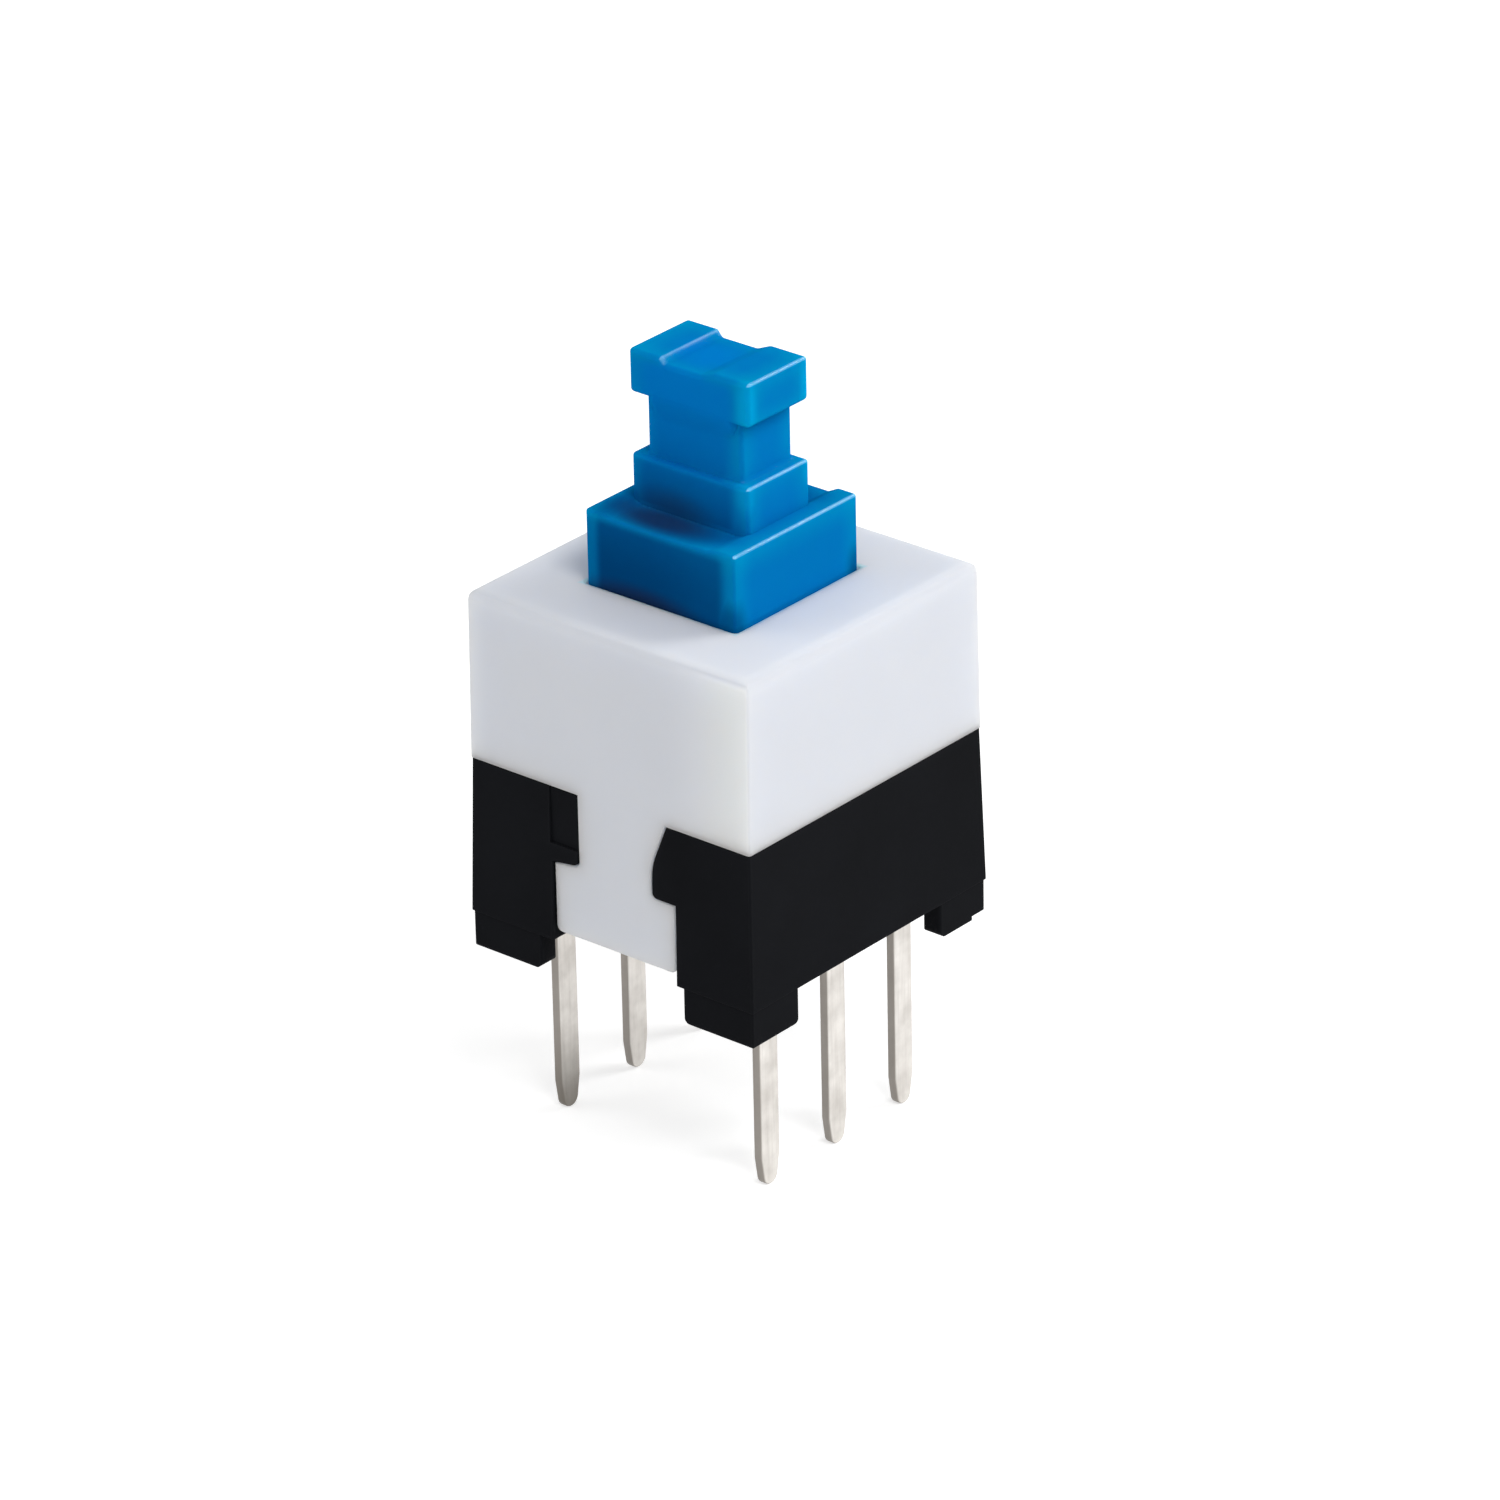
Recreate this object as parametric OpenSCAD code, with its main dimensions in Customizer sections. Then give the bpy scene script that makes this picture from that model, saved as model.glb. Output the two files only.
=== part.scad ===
// Self-locking push switch. A black base stands on four corner feet and holds six flat
// pins, a milky cover snaps over it with two tongues, and a blue plunger with a T-shaped
// post slides in the cover. The plunger stays down on a heart-shaped cam and a wire pin.
// X runs across the two rows of pins, Y along them and Z up. The feet stand at Z = 0.

/* [Housing] */
// Width of the housing across the pin rows, at the split line
housing_x = 8.5; // [8.2:0.05:9.5]
// Room for the latch between the plunger's block and each tongue
latch_room = 1.32; // [1.1:0.02:1.8]
// Height of the split line between base and cover above the board
split_z = 4.95; // [4.7:0.05:5.6]
// Height of the cover above the split line
cover_height = 4.33; // [4.1:0.05:5.2]
// Thickness of the cover's top
cover_top = 0.9; // [0.5:0.05:1.1]
// Thickness of the cover's tongues and of its walls above them
tongue_wall = 0.72; // [0.5:0.02:0.8]
// How far each cover wall over a pin row leans in towards the top
cover_lean_x = 0.015; // [0:0.005:0.1]
// How far each cover wall over a tongue leans in towards the top
cover_lean_y = 0.07; // [0:0.01:0.15]
// Rounding of the cover's top edges
cover_edge_r = 0.3; // [0.1:0.05:0.5]
// Rounding of the cover's upright edges
cover_side_r = 0.08; // [0.04:0.02:0.4]

/* [Base] */
// Height of the feet below the floor
foot_height = 0.92; // [0.5:0.02:1.2]
// Thickness of the floor
floor_t = 0.83; // [0.7:0.01:1]
// How far the top edge of the base stands in from the cover
base_inset = 0.03; // [0:0.01:0.1]
// How far the base grows outwards to its bottom edge, across the pin rows
base_flare_x = 0.096; // [0:0.002:0.15]
// How far the base grows outwards to its bottom edge, along the pin rows
base_flare_y = 0.105; // [0:0.005:0.15]
// How far the feet stand in from the bottom edge of the walls
foot_inset = 0.04; // [0:0.01:0.1]
// Length of each foot across the pin rows
foot_x = 2.1; // [1.5:0.05:2.3]
// Length of each foot along the pin rows
foot_y = 1.68; // [1:0.02:1.8]
// Thickness of the foot under the tongue's side
foot_wall_y = 0.53; // [0.3:0.01:0.7]
// Thickness of the foot under the pin row's side
foot_wall_x = 0.53; // [0.3:0.01:0.6]
// Rounding of the feet's inner lower corners
foot_r = 0.22; // [0.05:0.01:0.3]
// Length of the nick at the corner of the rear right foot
nick_length = 0.45; // [0.1:0.05:0.8]
// Height of that nick
nick_height = 0.12; // [0.02:0.01:0.2]

/* [Snap hooks] */
// Height of the lower edge of the hooks above the board
hook_low = 2.98; // [2.4:0.02:3.6]
// Distance of the straight hook from the middle
hook_near = 0.98; // [0.6:0.02:1.2]
// Distance of the slanted hook from the middle, below its slope
hook_far = 1.27; // [0.9:0.01:1.45]
// Angle that the slanted hook leans back towards the top
hook_lean = 22; // [10:1:26]
// Height of the slanted hook's upright stretch
hook_upright = 0.5; // [0.3:0.02:0.8]
// Radius of the knee between its upright and its slanted stretch
hook_knee_r = 1.6; // [0.5:0.1:2]
// How far the lower edge of the straight hook rises towards its tip
hook_rise = 0.1; // [0:0.01:0.2]
// Depth of the shallow relief in the face of the straight hook
relief_depth = 0.03; // [0.02:0.01:0.15]
// Length of that relief
relief_w = 0.85; // [0.4:0.05:1]
// Height of that relief
relief_h = 1.5; // [0.8:0.05:1.9]
// Distance of the corner post beside the straight hook from the middle
post_near = 1.73; // [1.5:0.01:2]
// Distance of the corner post beside the slanted hook from the middle
post_far = 1.97; // [1.8:0.01:2.2]
// Height of the tongue's lower edge above the floor's underside
tongue_lift = 0.26; // [0.1:0.02:0.6]
// Rounding of the tongue's lower corners
tongue_r = 0.16; // [0.05:0.01:0.4]
// Rounding of the hooks' lower corners
hook_r = 0.14; // [0.05:0.01:0.25]

/* [Plunger] */
// Width of the plunger's block across the pin rows
block_x = 4.48; // [4:0.02:4.8]
// Width of the plunger's block along the pin rows
block_y = 4.46; // [4:0.02:4.8]
// Height of the block above the cover
block_rise = 1.88; // [1.7:0.02:3]
// Width of the raised rim on each side of the block
rim_w = 0.52; // [0.3:0.02:0.7]
// Depth of the shelf between the rims
shelf_depth = 0.12; // [0.1:0.02:0.4]
// Length of the slope from each rim down to the shelf
rim_slope = 0.3; // [0.1:0.02:0.4]
// Width of the step on the block across the pin rows
step_x = 3.5; // [3:0.05:3.6]
// Width of the step along the pin rows
step_y = 2.25; // [1.9:0.05:2.6]
// Height of the step above the rims
step_rise = 1.15; // [0.6:0.05:1.6]
// Width of the neck across the pin rows
neck_x = 2.85; // [2.2:0.05:2.95]
// Width of the neck along the pin rows
neck_y = 1.82; // [1.4:0.02:1.86]
// Height of the neck
neck_rise = 1.5; // [0.8:0.05:2]
// Rounding where the neck meets the step
neck_fillet = 0.14; // [0.05:0.01:0.3]
// Width of the head across the pin rows
head_x = 3.58; // [3.2:0.02:4]
// Width of the head along the pin rows
head_y = 2.18; // [2:0.01:2.6]
// Height of the head
head_rise = 1.1; // [0.9:0.05:2]
// Width of the trough across the head, at the top
trough_w = 1.6; // [1:0.05:2.2]
// Depth of the trough
trough_depth = 0.16; // [0.1:0.02:0.4]
// Length of the trough's steep side
trough_slope = 0.14; // [0.05:0.01:0.3]
// Length of the gentle rise at the other side of the trough
trough_ramp = 0.4; // [0.1:0.05:0.5]
// How far the trough lies off the middle, towards the left row of pins
trough_shift = 0.06; // [0:0.01:0.1]
// How far the wedges between neck and head end before the neck's sides
web_inset = 0.22; // [0.1:0.02:0.5]
// Height of those wedges below the head
web_high = 0.6; // [0.3:0.05:0.7]
// Rounding of the plunger's upright and top edges
plunger_edge_r = 0.07; // [0.04:0.01:0.2]
// Gap between the plunger and the cover's window on each side
window_gap = 0.06; // [0.03:0.01:0.1]
// Full travel of the plunger
travel = 2.5; // [2:0.05:2.7]

/* [Latch] */
// Travel at which the plunger stays down
lock_travel = 1.8; // [1.5:0.05:1.9]
// Diameter of the latch pin's wire
latch_wire = 0.4; // [0.3:0.02:0.46]
// Angle that the latch pin swings over the full travel
latch_swing = 15; // [13:0.5:18]
// Depth of the cam groove in the plunger
groove_depth = 0.45; // [0.3:0.01:0.5]
// Gap between the latch pin and each side of the cam groove
groove_gap = 0.05; // [0.03:0.01:0.08]
// Thickness of the leaf spring behind the latch pin
leaf_t = 0.12; // [0.08:0.01:0.16]
// Width of the leaf spring behind the latch pin
leaf_w = 2.4; // [1.8:0.1:2.8]

/* [Return spring] */
// Outer diameter of the return spring
spring_d = 2.2; // [1.8:0.05:2.4]
// Diameter of its wire
spring_wire = 0.25; // [0.2:0.01:0.3]
// Number of its turns
spring_turns = 8; // [6:1:9]
// Height of the peg inside the spring
peg_height = 1.1; // [0.6:0.05:1.6]

/* [Pins and contacts] */
// Distance between the two rows of pins
row_spacing = 6.2; // [6:0.05:6.4]
// Distance between the pins of a row
pin_pitch = 2.5; // [2.3:0.05:2.55]
// Width of a pin
pin_w = 0.66; // [0.5:0.02:0.8]
// Thickness of a pin
pin_t = 0.27; // [0.2:0.01:0.35]
// Length of the pins below the feet
pin_length = 4.7; // [3:0.1:5.5]
// Width of each pin where its tip starts to be round
tip_w = 0.42; // [0.3:0.02:0.48]
// Length over which each pin narrows above its round tip
tip_taper = 0.55; // [0.2:0.05:1]
// Thickness of the moving contacts
contact_t = 0.12; // [0.08:0.01:0.16]
// Width of each finger of the moving contacts
finger_w = 0.6; // [0.4:0.02:0.7]
// Height of the contact point above the plunger's lower end
contact_rise = 1.25; // [1:0.05:1.4]
// Height of the plate of the moving contacts
plate_h = 0.9; // [0.7:0.05:1.1]
// Travel over which the contacts leave the normally closed pins
closed_travel = 0.7; // [0.5:0.05:0.9]
// Travel at which the contacts reach the normally open pins
open_travel = 1.3; // [1.1:0.05:1.6]

/* [Hidden] */
$fn = 32;

BLACK = "#1b1d20";
MILK = "#dde1e8";
BLUE = "#0a84cc";
STEEL = "#c9c6c2";
BRONZE = "#c8a060";

// Gap between pieces that meet, gap under a spring that stands on another piece, and the
// reach of cuts past a face
fit_gap = 0.03;
seat_gap = 0.01;
past = 0.5;
// How far the wedges below the head start inside the neck and end inside the head
web_lip = 0.02;

// Play of the plunger: under it when it is fully pressed, and over its ears at rest
press_gap = 0.1;
ear_gap = 0.05;

// Play of the return spring on its peg and in its pocket, and the plastic over the pocket
peg_gap = 0.05;
pocket_gap = 0.15;
pocket_roof = 0.7;

// Places of the latch pin: its lower leg in the floor, as a share of the floor's thickness,
// the plastic below its upper end, its gaps to block and groove, and the sides of its slot
pivot_share = 0.6;
groove_foot = 0.3;
latch_stand = 0.3;
latch_tip_gap = 0.06;
latch_slot = 0.3;
pivot_margin = 0.6;

// Shape of the heart: its shoulders above the latched pin, and the depth of its notch
heart_above = 0.25;
heart_dip = 0.53;

// Ears that stop the plunger under the cover's top, clear of the cam groove
ear_t = 0.5;
ear_reach = 0.55;
ear_root = 0.2;
ear_margin = 0.15;

// Studs that carry the moving contacts, their root in the block and the contacts' gap to it
stud_r = 0.18;
stud_gap = 0.02;
stud_root = 0.1;
stud_pair_y = 0.9;

// Fingers of the moving contacts below and above the contact point, and what the blades of
// the pins reach past it and leave free beside the middle finger
finger_low = 0.5;
finger_high = 0.8;
blade_margin = 0.6;
blade_gap = 0.05;

// Length of the housing along the pin rows, at the split line
housing_y = block_y + 2 * latch_room + 2 * tongue_wall;

// Levels of the housing
floor_z = foot_height + floor_t;
cover_z = split_z + cover_height;
ceiling_z = cover_z - cover_top;

// Room inside the housing
room_x = row_spacing + pin_t + 2 * fit_gap;
room_y = housing_y - 2 * tongue_wall;
post_inner_y = room_y / 2 - 2 * fit_gap;

// Outer size of the base at its top and bottom edges, and of the feet
base_x = housing_x - 2 * base_inset;
base_y = housing_y - 2 * base_inset;
base_low_x = base_x + 2 * base_flare_x;
base_low_y = base_y + 2 * base_flare_y;
feet_x = base_low_x / 2 - foot_inset;
feet_y = base_low_y / 2 - foot_inset;

// Levels of the plunger at rest
plunger_low = floor_z + travel + press_gap;
shoulder_z = ceiling_z - ear_gap;
block_z = cover_z + block_rise;
step_z = block_z + step_rise;
neck_z = step_z + neck_rise;
head_z = neck_z + head_rise;

// Return spring, its peg on the floor and its pocket in the plunger
spring_r = spring_d / 2;
peg_r = spring_r - spring_wire - peg_gap;
pocket_r = spring_r + pocket_gap;
pocket_z = shoulder_z - pocket_roof;

// Latch pin: its pivot in the floor, its upper end in the cam groove and its swing
pivot_z = foot_height + pivot_share * floor_t;
latch_z = plunger_low + latch_wire / 2 + groove_gap + groove_foot;
latch_arm = latch_z - pivot_z;
latch_reach = latch_arm * sin(latch_swing);
latch_drop = latch_arm * (1 - cos(latch_swing));
groove_w = latch_wire + 2 * groove_gap;
groove_top = latch_z + travel - latch_drop;
groove_lean = atan2(latch_reach, groove_top - latch_z);
latch_y = block_y / 2 + latch_wire / 2 + latch_stand;
latch_tip_y = block_y / 2 - groove_depth + latch_tip_gap;
bend_r = latch_wire;
pivot_end_y = spring_r + pivot_margin;

// Heart-shaped island in the groove: lower tip, shoulders and the notch that holds the pin
heart_tip = latch_z + groove_w / 2 / sin(groove_lean);
heart_top = latch_z + lock_travel + heart_above;
heart_half = (heart_top - heart_tip) * tan(groove_lean);
heart_notch = heart_top - heart_dip;

// Inner end of the ears, beside the cam groove
ear_inner_x = latch_reach + groove_w / 2 + ear_margin;

// Moving contacts and what they touch
contact_z = plunger_low + contact_rise;
touch_x = row_spacing / 2 - pin_t / 2 - fit_gap;
plate_x = block_x / 2 + stud_gap;
plate_low = contact_z + finger_high;
plate_top = plate_low + plate_h;
finger_y = pin_pitch / 2;
pin_top = contact_z + blade_margin;
closed_arm_low = contact_z - closed_travel;
open_arm_top = contact_z - open_travel;
open_arm_low = contact_z - travel - blade_margin;
arm_end_y = finger_y - finger_w / 2 - blade_gap;

// Points of an arc around a centre, from one angle to another
function arc(x, y, r, from, to, steps = 6) =
  [for (i = [0:steps]) let (a = from + (to - from) * i / steps) [x + r * cos(a), y + r * sin(a)]];

// Outline of the gap between hooks and posts, or of the tongue that fills it when it is
// drawn smaller by a gap
function tongue_outline(gap, low) =
  let (side = hook_far - gap, knee_z = hook_low + hook_upright)
  let (knee = arc(side + hook_knee_r, knee_z, hook_knee_r, 180, 180 - hook_lean))
  let (bend = knee[len(knee) - 1])
  concat(
    [[-post_near + gap, hook_low - gap], [-post_near + gap, low]],
    [[post_far - gap, low], [post_far - gap, hook_low - gap]],
    arc(side + hook_r, hook_low + hook_r - gap, hook_r, 270, 180),
    knee,
    [[bend[0] + (split_z - bend[1]) * tan(hook_lean), split_z], [-hook_near + gap, split_z]],
    arc(-hook_near - hook_r + gap, hook_low + hook_rise + hook_r - gap, hook_r, 0, -90)
  );

module round_rect(x, y, r) {
  square([x - 2 * r, y], center = true);
  square([x, y - 2 * r], center = true);
  for (i = [-1, 1], j = [-1, 1])
    translate([i * (x / 2 - r), j * (y / 2 - r)]) circle(r);
}

// Side view of a block with rounded top corners
module top_rounded(w, low, high, r) {
  translate([-w / 2, low]) square([w, high - low - r]);
  translate([-w / 2 + r, low]) square([w - 2 * r, high - low]);
  for (i = [-1, 1]) translate([i * (w / 2 - r), high - r]) circle(r);
}

// Side view of a wall pair that leans by some distance from low to high
module leaning(w_low, w_high, low, high) {
  polygon([[-w_low / 2, low], [w_low / 2, low], [w_high / 2, high], [-w_high / 2, high]]);
}

// Extrudes a view in X and Z along Y, or one in Y and Z along X
module along_y(l) rotate([90, 0, 0]) linear_extrude(l, center = true) children();
module along_x(l) rotate([90, 0, 90]) linear_extrude(l, center = true) children();

// Block with rounded upright edges and rounded top edges
module soft_block(x, y, low, high, side_r, top_r) {
  intersection() {
    translate([0, 0, low]) linear_extrude(high - low) round_rect(x, y, side_r);
    along_y(y + past) top_rounded(x, low, high, top_r);
    along_x(x + past) top_rounded(y, low, high, top_r);
  }
}

// Side view of the cover: walls that lean in towards rounded top corners
module cover_view(w, lean, r) {
  top_w = w - 2 * lean;
  leaning(w, top_w, split_z, cover_z - r);
  translate([-top_w / 2 + r, cover_z - 2 * r]) square([top_w - 2 * r, 2 * r]);
  for (i = [-1, 1]) translate([i * (top_w / 2 - r), cover_z - r]) circle(r);
}

module cover_shell() {
  intersection() {
    translate([0, 0, split_z]) linear_extrude(cover_height)
      round_rect(housing_x, housing_y, cover_side_r);
    along_y(housing_y + past) cover_view(housing_x, cover_lean_x, cover_edge_r);
    along_x(housing_x + past) cover_view(housing_y, cover_lean_y, cover_edge_r);
  }
}

module cover() {
  color(MILK) {
    difference() {
      cover_shell();
      translate([-room_x / 2, -room_y / 2, split_z - past])
        cube([room_x, room_y, ceiling_z - split_z + past]);
      translate([0, 0, ceiling_z - past]) linear_extrude(cover_top + 2 * past)
        square([block_x + 2 * window_gap, block_y + 2 * window_gap], center = true);
    }
    for (a = [0, 180]) rotate(a) tongue();
  }
}

// One tongue below the split line, with rounded lower corners
module tongue() {
  low = foot_height + tongue_lift;
  intersection() {
    translate([0, -housing_y / 2 + tongue_wall / 2, 0]) along_y(tongue_wall)
      polygon(tongue_outline(fit_gap, low));
    translate([(post_far - post_near) / 2, 0, 0]) along_y(housing_y + past)
      rotate(180) translate([0, -split_z - low])
        top_rounded(post_far + post_near - 2 * fit_gap, low, split_z, tongue_r);
  }
}

// Walls and floor of the base, which grow towards the bottom edge
module base_block() {
  intersection() {
    along_y(base_low_y + past) leaning(base_low_x, base_x, foot_height, split_z);
    along_x(base_low_x + past) leaning(base_low_y, base_y, foot_height, split_z);
  }
}

// Side view of one arm of a foot, from its inner end to the corner, rounded at the inner end
module foot_view(l) {
  translate([foot_r, 0]) square([l - foot_r, foot_height]);
  translate([0, foot_r]) square([foot_r, foot_height - foot_r]);
  translate([foot_r, foot_r]) circle(foot_r);
}

// One corner foot, bent around the corner of the base
module foot() {
  translate([feet_x - foot_x, feet_y - foot_wall_y / 2, 0]) along_y(foot_wall_y) foot_view(foot_x);
  translate([feet_x - foot_wall_x / 2, feet_y - foot_y, 0]) along_x(foot_wall_x) foot_view(foot_y);
}

// Everything that is cut out of the base: room, tongue gaps, pin slots and latch seat
module base_cuts() {
  slot_x = pin_t + 2 * fit_gap;
  slot_y = pin_w + 2 * fit_gap;
  gap_y = base_low_y / 2 + past - post_inner_y;
  translate([-room_x / 2, -post_inner_y, floor_z]) cube([room_x, 2 * post_inner_y, split_z]);
  for (a = [0, 180]) rotate(a) {
    translate([0, -post_inner_y - gap_y / 2, 0]) along_y(gap_y)
      polygon(tongue_outline(0, foot_height - past));
    translate([-hook_near - relief_w, -base_y / 2 - past, split_z - relief_h])
      cube([relief_w + past, past + relief_depth, relief_h + past]);
  }
  for (i = [-1, 1], j = [-1, 0, 1])
    translate([i * row_spacing / 2, j * pin_pitch, floor_z / 2])
      cube([slot_x, slot_y, floor_z + past], center = true);
  latch_seat();
}

module base() {
  color(BLACK) {
    difference() {
      base_block();
      base_cuts();
    }
    translate([0, 0, floor_z]) cylinder(h = peg_height, r = peg_r);
    difference() {
      for (i = [0, 1], j = [0, 1]) mirror([i, 0, 0]) mirror([0, j, 0]) foot();
      translate([feet_x - foot_wall_x - past, feet_y - nick_length, -past])
        cube([foot_wall_x + 2 * past, nick_length + past, past + nick_height]);
    }
  }
}

// Slot and blind hole in the floor for the lower end of the latch pin
module latch_seat() {
  half = latch_wire / 2 + latch_slot;
  translate([-half, -post_inner_y - past, pivot_z - latch_wire / 2 - 2 * fit_gap])
    cube([2 * half, past + post_inner_y - latch_y + half, floor_z]);
  translate([0, -pivot_end_y + fit_gap, pivot_z]) rotate([90, 0, 0])
    cylinder(h = latch_y - pivot_end_y, r = latch_wire / 2 + fit_gap);
}

// Cam groove seen from the tongue's side: two leaning lanes around the heart
module groove_view() {
  lane = norm([latch_reach, groove_top - latch_z]);
  difference() {
    union() {
      for (i = [-1, 1]) translate([0, latch_z]) rotate(-i * groove_lean) {
        translate([-groove_w / 2, 0]) square([groove_w, lane]);
        translate([0, lane]) circle(groove_w / 2);
      }
      translate([0, latch_z]) circle(groove_w / 2);
      translate([-latch_reach, heart_top])
        square([2 * latch_reach, groove_top + groove_w / 2 - heart_top]);
    }
    polygon([[0, heart_tip], [heart_half, heart_top], [0, heart_notch],
             [-heart_half, heart_top]]);
  }
}

module neck() {
  r = neck_fillet;
  along_y(neck_y) polygon(concat(
    arc(-neck_x / 2 - r, step_z + r, r, -90, 0),
    [[-neck_x / 2, neck_z + past], [neck_x / 2, neck_z + past]],
    arc(neck_x / 2 + r, step_z + r, r, 180, 270),
    [[neck_x / 2 + r, step_z - past], [-neck_x / 2 - r, step_z - past]]
  ));
}

module plunger() {
  color(BLUE) {
    difference() {
      soft_block(block_x, block_y, plunger_low, block_z, plunger_edge_r, plunger_edge_r);
      along_y(block_y + past) polygon([
        [-block_x / 2 + rim_w - past, block_z + past], [-block_x / 2 + rim_w, block_z],
        [-block_x / 2 + rim_w + rim_slope, block_z - shelf_depth],
        [block_x / 2 - rim_w - rim_slope, block_z - shelf_depth],
        [block_x / 2 - rim_w, block_z], [block_x / 2 - rim_w + past, block_z + past]
      ]);
      translate([0, 0, plunger_low - past])
        cylinder(h = pocket_z - plunger_low + past, r = pocket_r);
      translate([0, -block_y / 2 + groove_depth / 2 - past / 2, 0])
        along_y(groove_depth + past) groove_view();
    }
    soft_block(step_x, step_y, block_z - 2 * shelf_depth, step_z, plunger_edge_r, plunger_edge_r);
    neck();
    along_x(neck_x - 2 * web_inset) polygon([
      [-neck_y / 2 + web_lip, neck_z - web_high], [-head_y / 2 + web_lip, neck_z],
      [-head_y / 2 + web_lip, neck_z + web_lip], [head_y / 2 - web_lip, neck_z + web_lip],
      [head_y / 2 - web_lip, neck_z], [neck_y / 2 - web_lip, neck_z - web_high]
    ]);
    difference() {
      soft_block(head_x, head_y, neck_z, head_z, plunger_edge_r, plunger_edge_r);
      translate([-trough_shift, 0, 0]) along_y(head_y + past) polygon([
        [-trough_w / 2, head_z], [-trough_w / 2 + trough_slope, head_z - trough_depth],
        [trough_w / 2 - trough_ramp, head_z - trough_depth], [trough_w / 2, head_z],
        [trough_w / 2, head_z + past], [-trough_w / 2, head_z + past]
      ]);
    }
    for (i = [0, 1], j = [0, 1]) mirror([i, 0, 0]) mirror([0, j, 0])
      translate([ear_inner_x, block_y / 2 - ear_root, shoulder_z - ear_t])
        cube([block_x / 2 - ear_inner_x, ear_root + ear_reach + window_gap, ear_t]);
    for (i = [-1, 1], j = [-1, 1])
      translate([i * (block_x / 2 - stud_root), j * stud_pair_y, (plate_low + plate_top) / 2])
        rotate([0, i * 90, 0]) cylinder(h = 2 * stud_root + stud_gap + contact_t, r = stud_r);
  }
}

// Coil with a flat turn at each end, as rings of points along a helix
module return_spring() {
  sides = 6;
  steps = 14;
  count = spring_turns * steps;
  wire_r = spring_wire / 2;
  low = floor_z + wire_r + seat_gap;
  high = pocket_z - wire_r - seat_gap;
  mean_r = spring_r - wire_r;
  rings = [for (k = [0:count])
    let (a = 360 * k / steps, rise = max(0, min(1, (k - steps) / (count - 2 * steps))))
    let (z = low + spring_wire * min(k, steps) / steps
             + spring_wire * max(0, k - count + steps) / steps
             + (high - low - 2 * spring_wire) * rise)
    for (j = [0:sides - 1]) let (b = 360 * j / sides, r = mean_r + wire_r * cos(b))
      [r * cos(a), r * sin(a), z + wire_r * sin(b)]];
  walls = [for (k = [0:count - 1], j = [0:sides - 1])
    let (n = (j + 1) % sides)
    [k * sides + j, k * sides + n, (k + 1) * sides + n, (k + 1) * sides + j]];
  ends = [[for (j = [sides - 1:-1:0]) j], [for (j = [0:sides - 1]) count * sides + j]];
  color(STEEL) polyhedron(points = rings, faces = [for (f = concat(walls, ends))
    [for (m = [len(f) - 1:-1:0]) f[m]]], convexity = 10);
}

// Wire bent to a U: an upright between the pivot in the floor and the tip in the groove
module latch_pin() {
  color(STEEL) translate([0, -latch_y, 0]) {
    translate([0, 0, pivot_z + bend_r]) cylinder(h = latch_arm - 2 * bend_r, d = latch_wire);
    translate([0, bend_r, pivot_z]) rotate([-90, 0, 0])
      cylinder(h = latch_y - bend_r - pivot_end_y - 2 * fit_gap, d = latch_wire);
    translate([0, bend_r, latch_z]) rotate([-90, 0, 0])
      cylinder(h = latch_y - bend_r - latch_tip_y, d = latch_wire);
    translate([0, bend_r, pivot_z + bend_r]) latch_bend();
    translate([0, bend_r, latch_z - bend_r]) mirror([0, 0, 1]) latch_bend();
  }
}

// Quarter turn of wire from the upright to the lower leg
module latch_bend() {
  rotate([0, 90, 0]) rotate([0, 0, -90]) rotate_extrude(angle = 90)
    translate([bend_r, 0]) circle(d = latch_wire);
}

// Bowed leaf that stands on the floor behind the latch pin and presses it into the groove.
// Its bends are placed in fifths of the latch pin's length.
module latch_leaf() {
  back = -post_inner_y + fit_gap;
  crest = -latch_y - latch_wire / 2 - fit_gap - leaf_t;
  low = floor_z + seat_gap;
  rise = latch_arm / 5;
  side = [[back, low], [back, low + 0.6 * rise], [crest, low + 2.2 * rise],
          [crest, low + 3 * rise], [back, low + 4.2 * rise], [back, low + 4.7 * rise]];
  color(BRONZE) along_x(leaf_w)
    polygon(concat(side, [for (m = [len(side) - 1:-1:0]) side[m] + [leaf_t, 0]]));
}

// Moving contact on the right: a plate on two studs of the plunger with three sprung fingers
module contact() {
  tip_x = (plate_x + touch_x) / 2 - contact_t / 2;
  bow = [[plate_x, plate_low + contact_t], [plate_x, plate_low],
         [touch_x - contact_t, contact_z + contact_t], [touch_x - contact_t, contact_z - contact_t],
         [tip_x, contact_z - finger_low]];
  half = finger_y + finger_w / 2;
  color(BRONZE) {
    difference() {
      translate([plate_x, -half, plate_low]) cube([contact_t, 2 * half, plate_top - plate_low]);
      for (j = [-1, 1]) translate([plate_x - past, j * stud_pair_y, (plate_low + plate_top) / 2])
        rotate([0, 90, 0]) cylinder(h = contact_t + 2 * past, r = stud_r + stud_gap);
    }
    for (j = [-1, 0, 1]) translate([0, j * finger_y, 0]) along_y(finger_w)
      polygon(concat(bow, [for (m = [len(bow) - 1:-1:0]) bow[m] + [contact_t, 0]]));
  }
}

module contact_right() contact();
module contact_left() mirror([1, 0, 0]) contact();

// Pin cut from flat strip: a rounded tip below the board and a blade inside the housing
module pin(side, place, top) {
  round_z = -pin_length + tip_w / 2;
  color(STEEL) translate([side * row_spacing / 2, 0, 0]) along_x(pin_t) {
    translate([place * pin_pitch, 0]) {
      polygon([
        [-tip_w / 2, round_z], [tip_w / 2, round_z], [pin_w / 2, round_z + tip_taper],
        [pin_w / 2, top], [-pin_w / 2, top], [-pin_w / 2, round_z + tip_taper]
      ]);
      translate([0, round_z]) circle(tip_w / 2);
    }
    children();
  }
}

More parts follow.
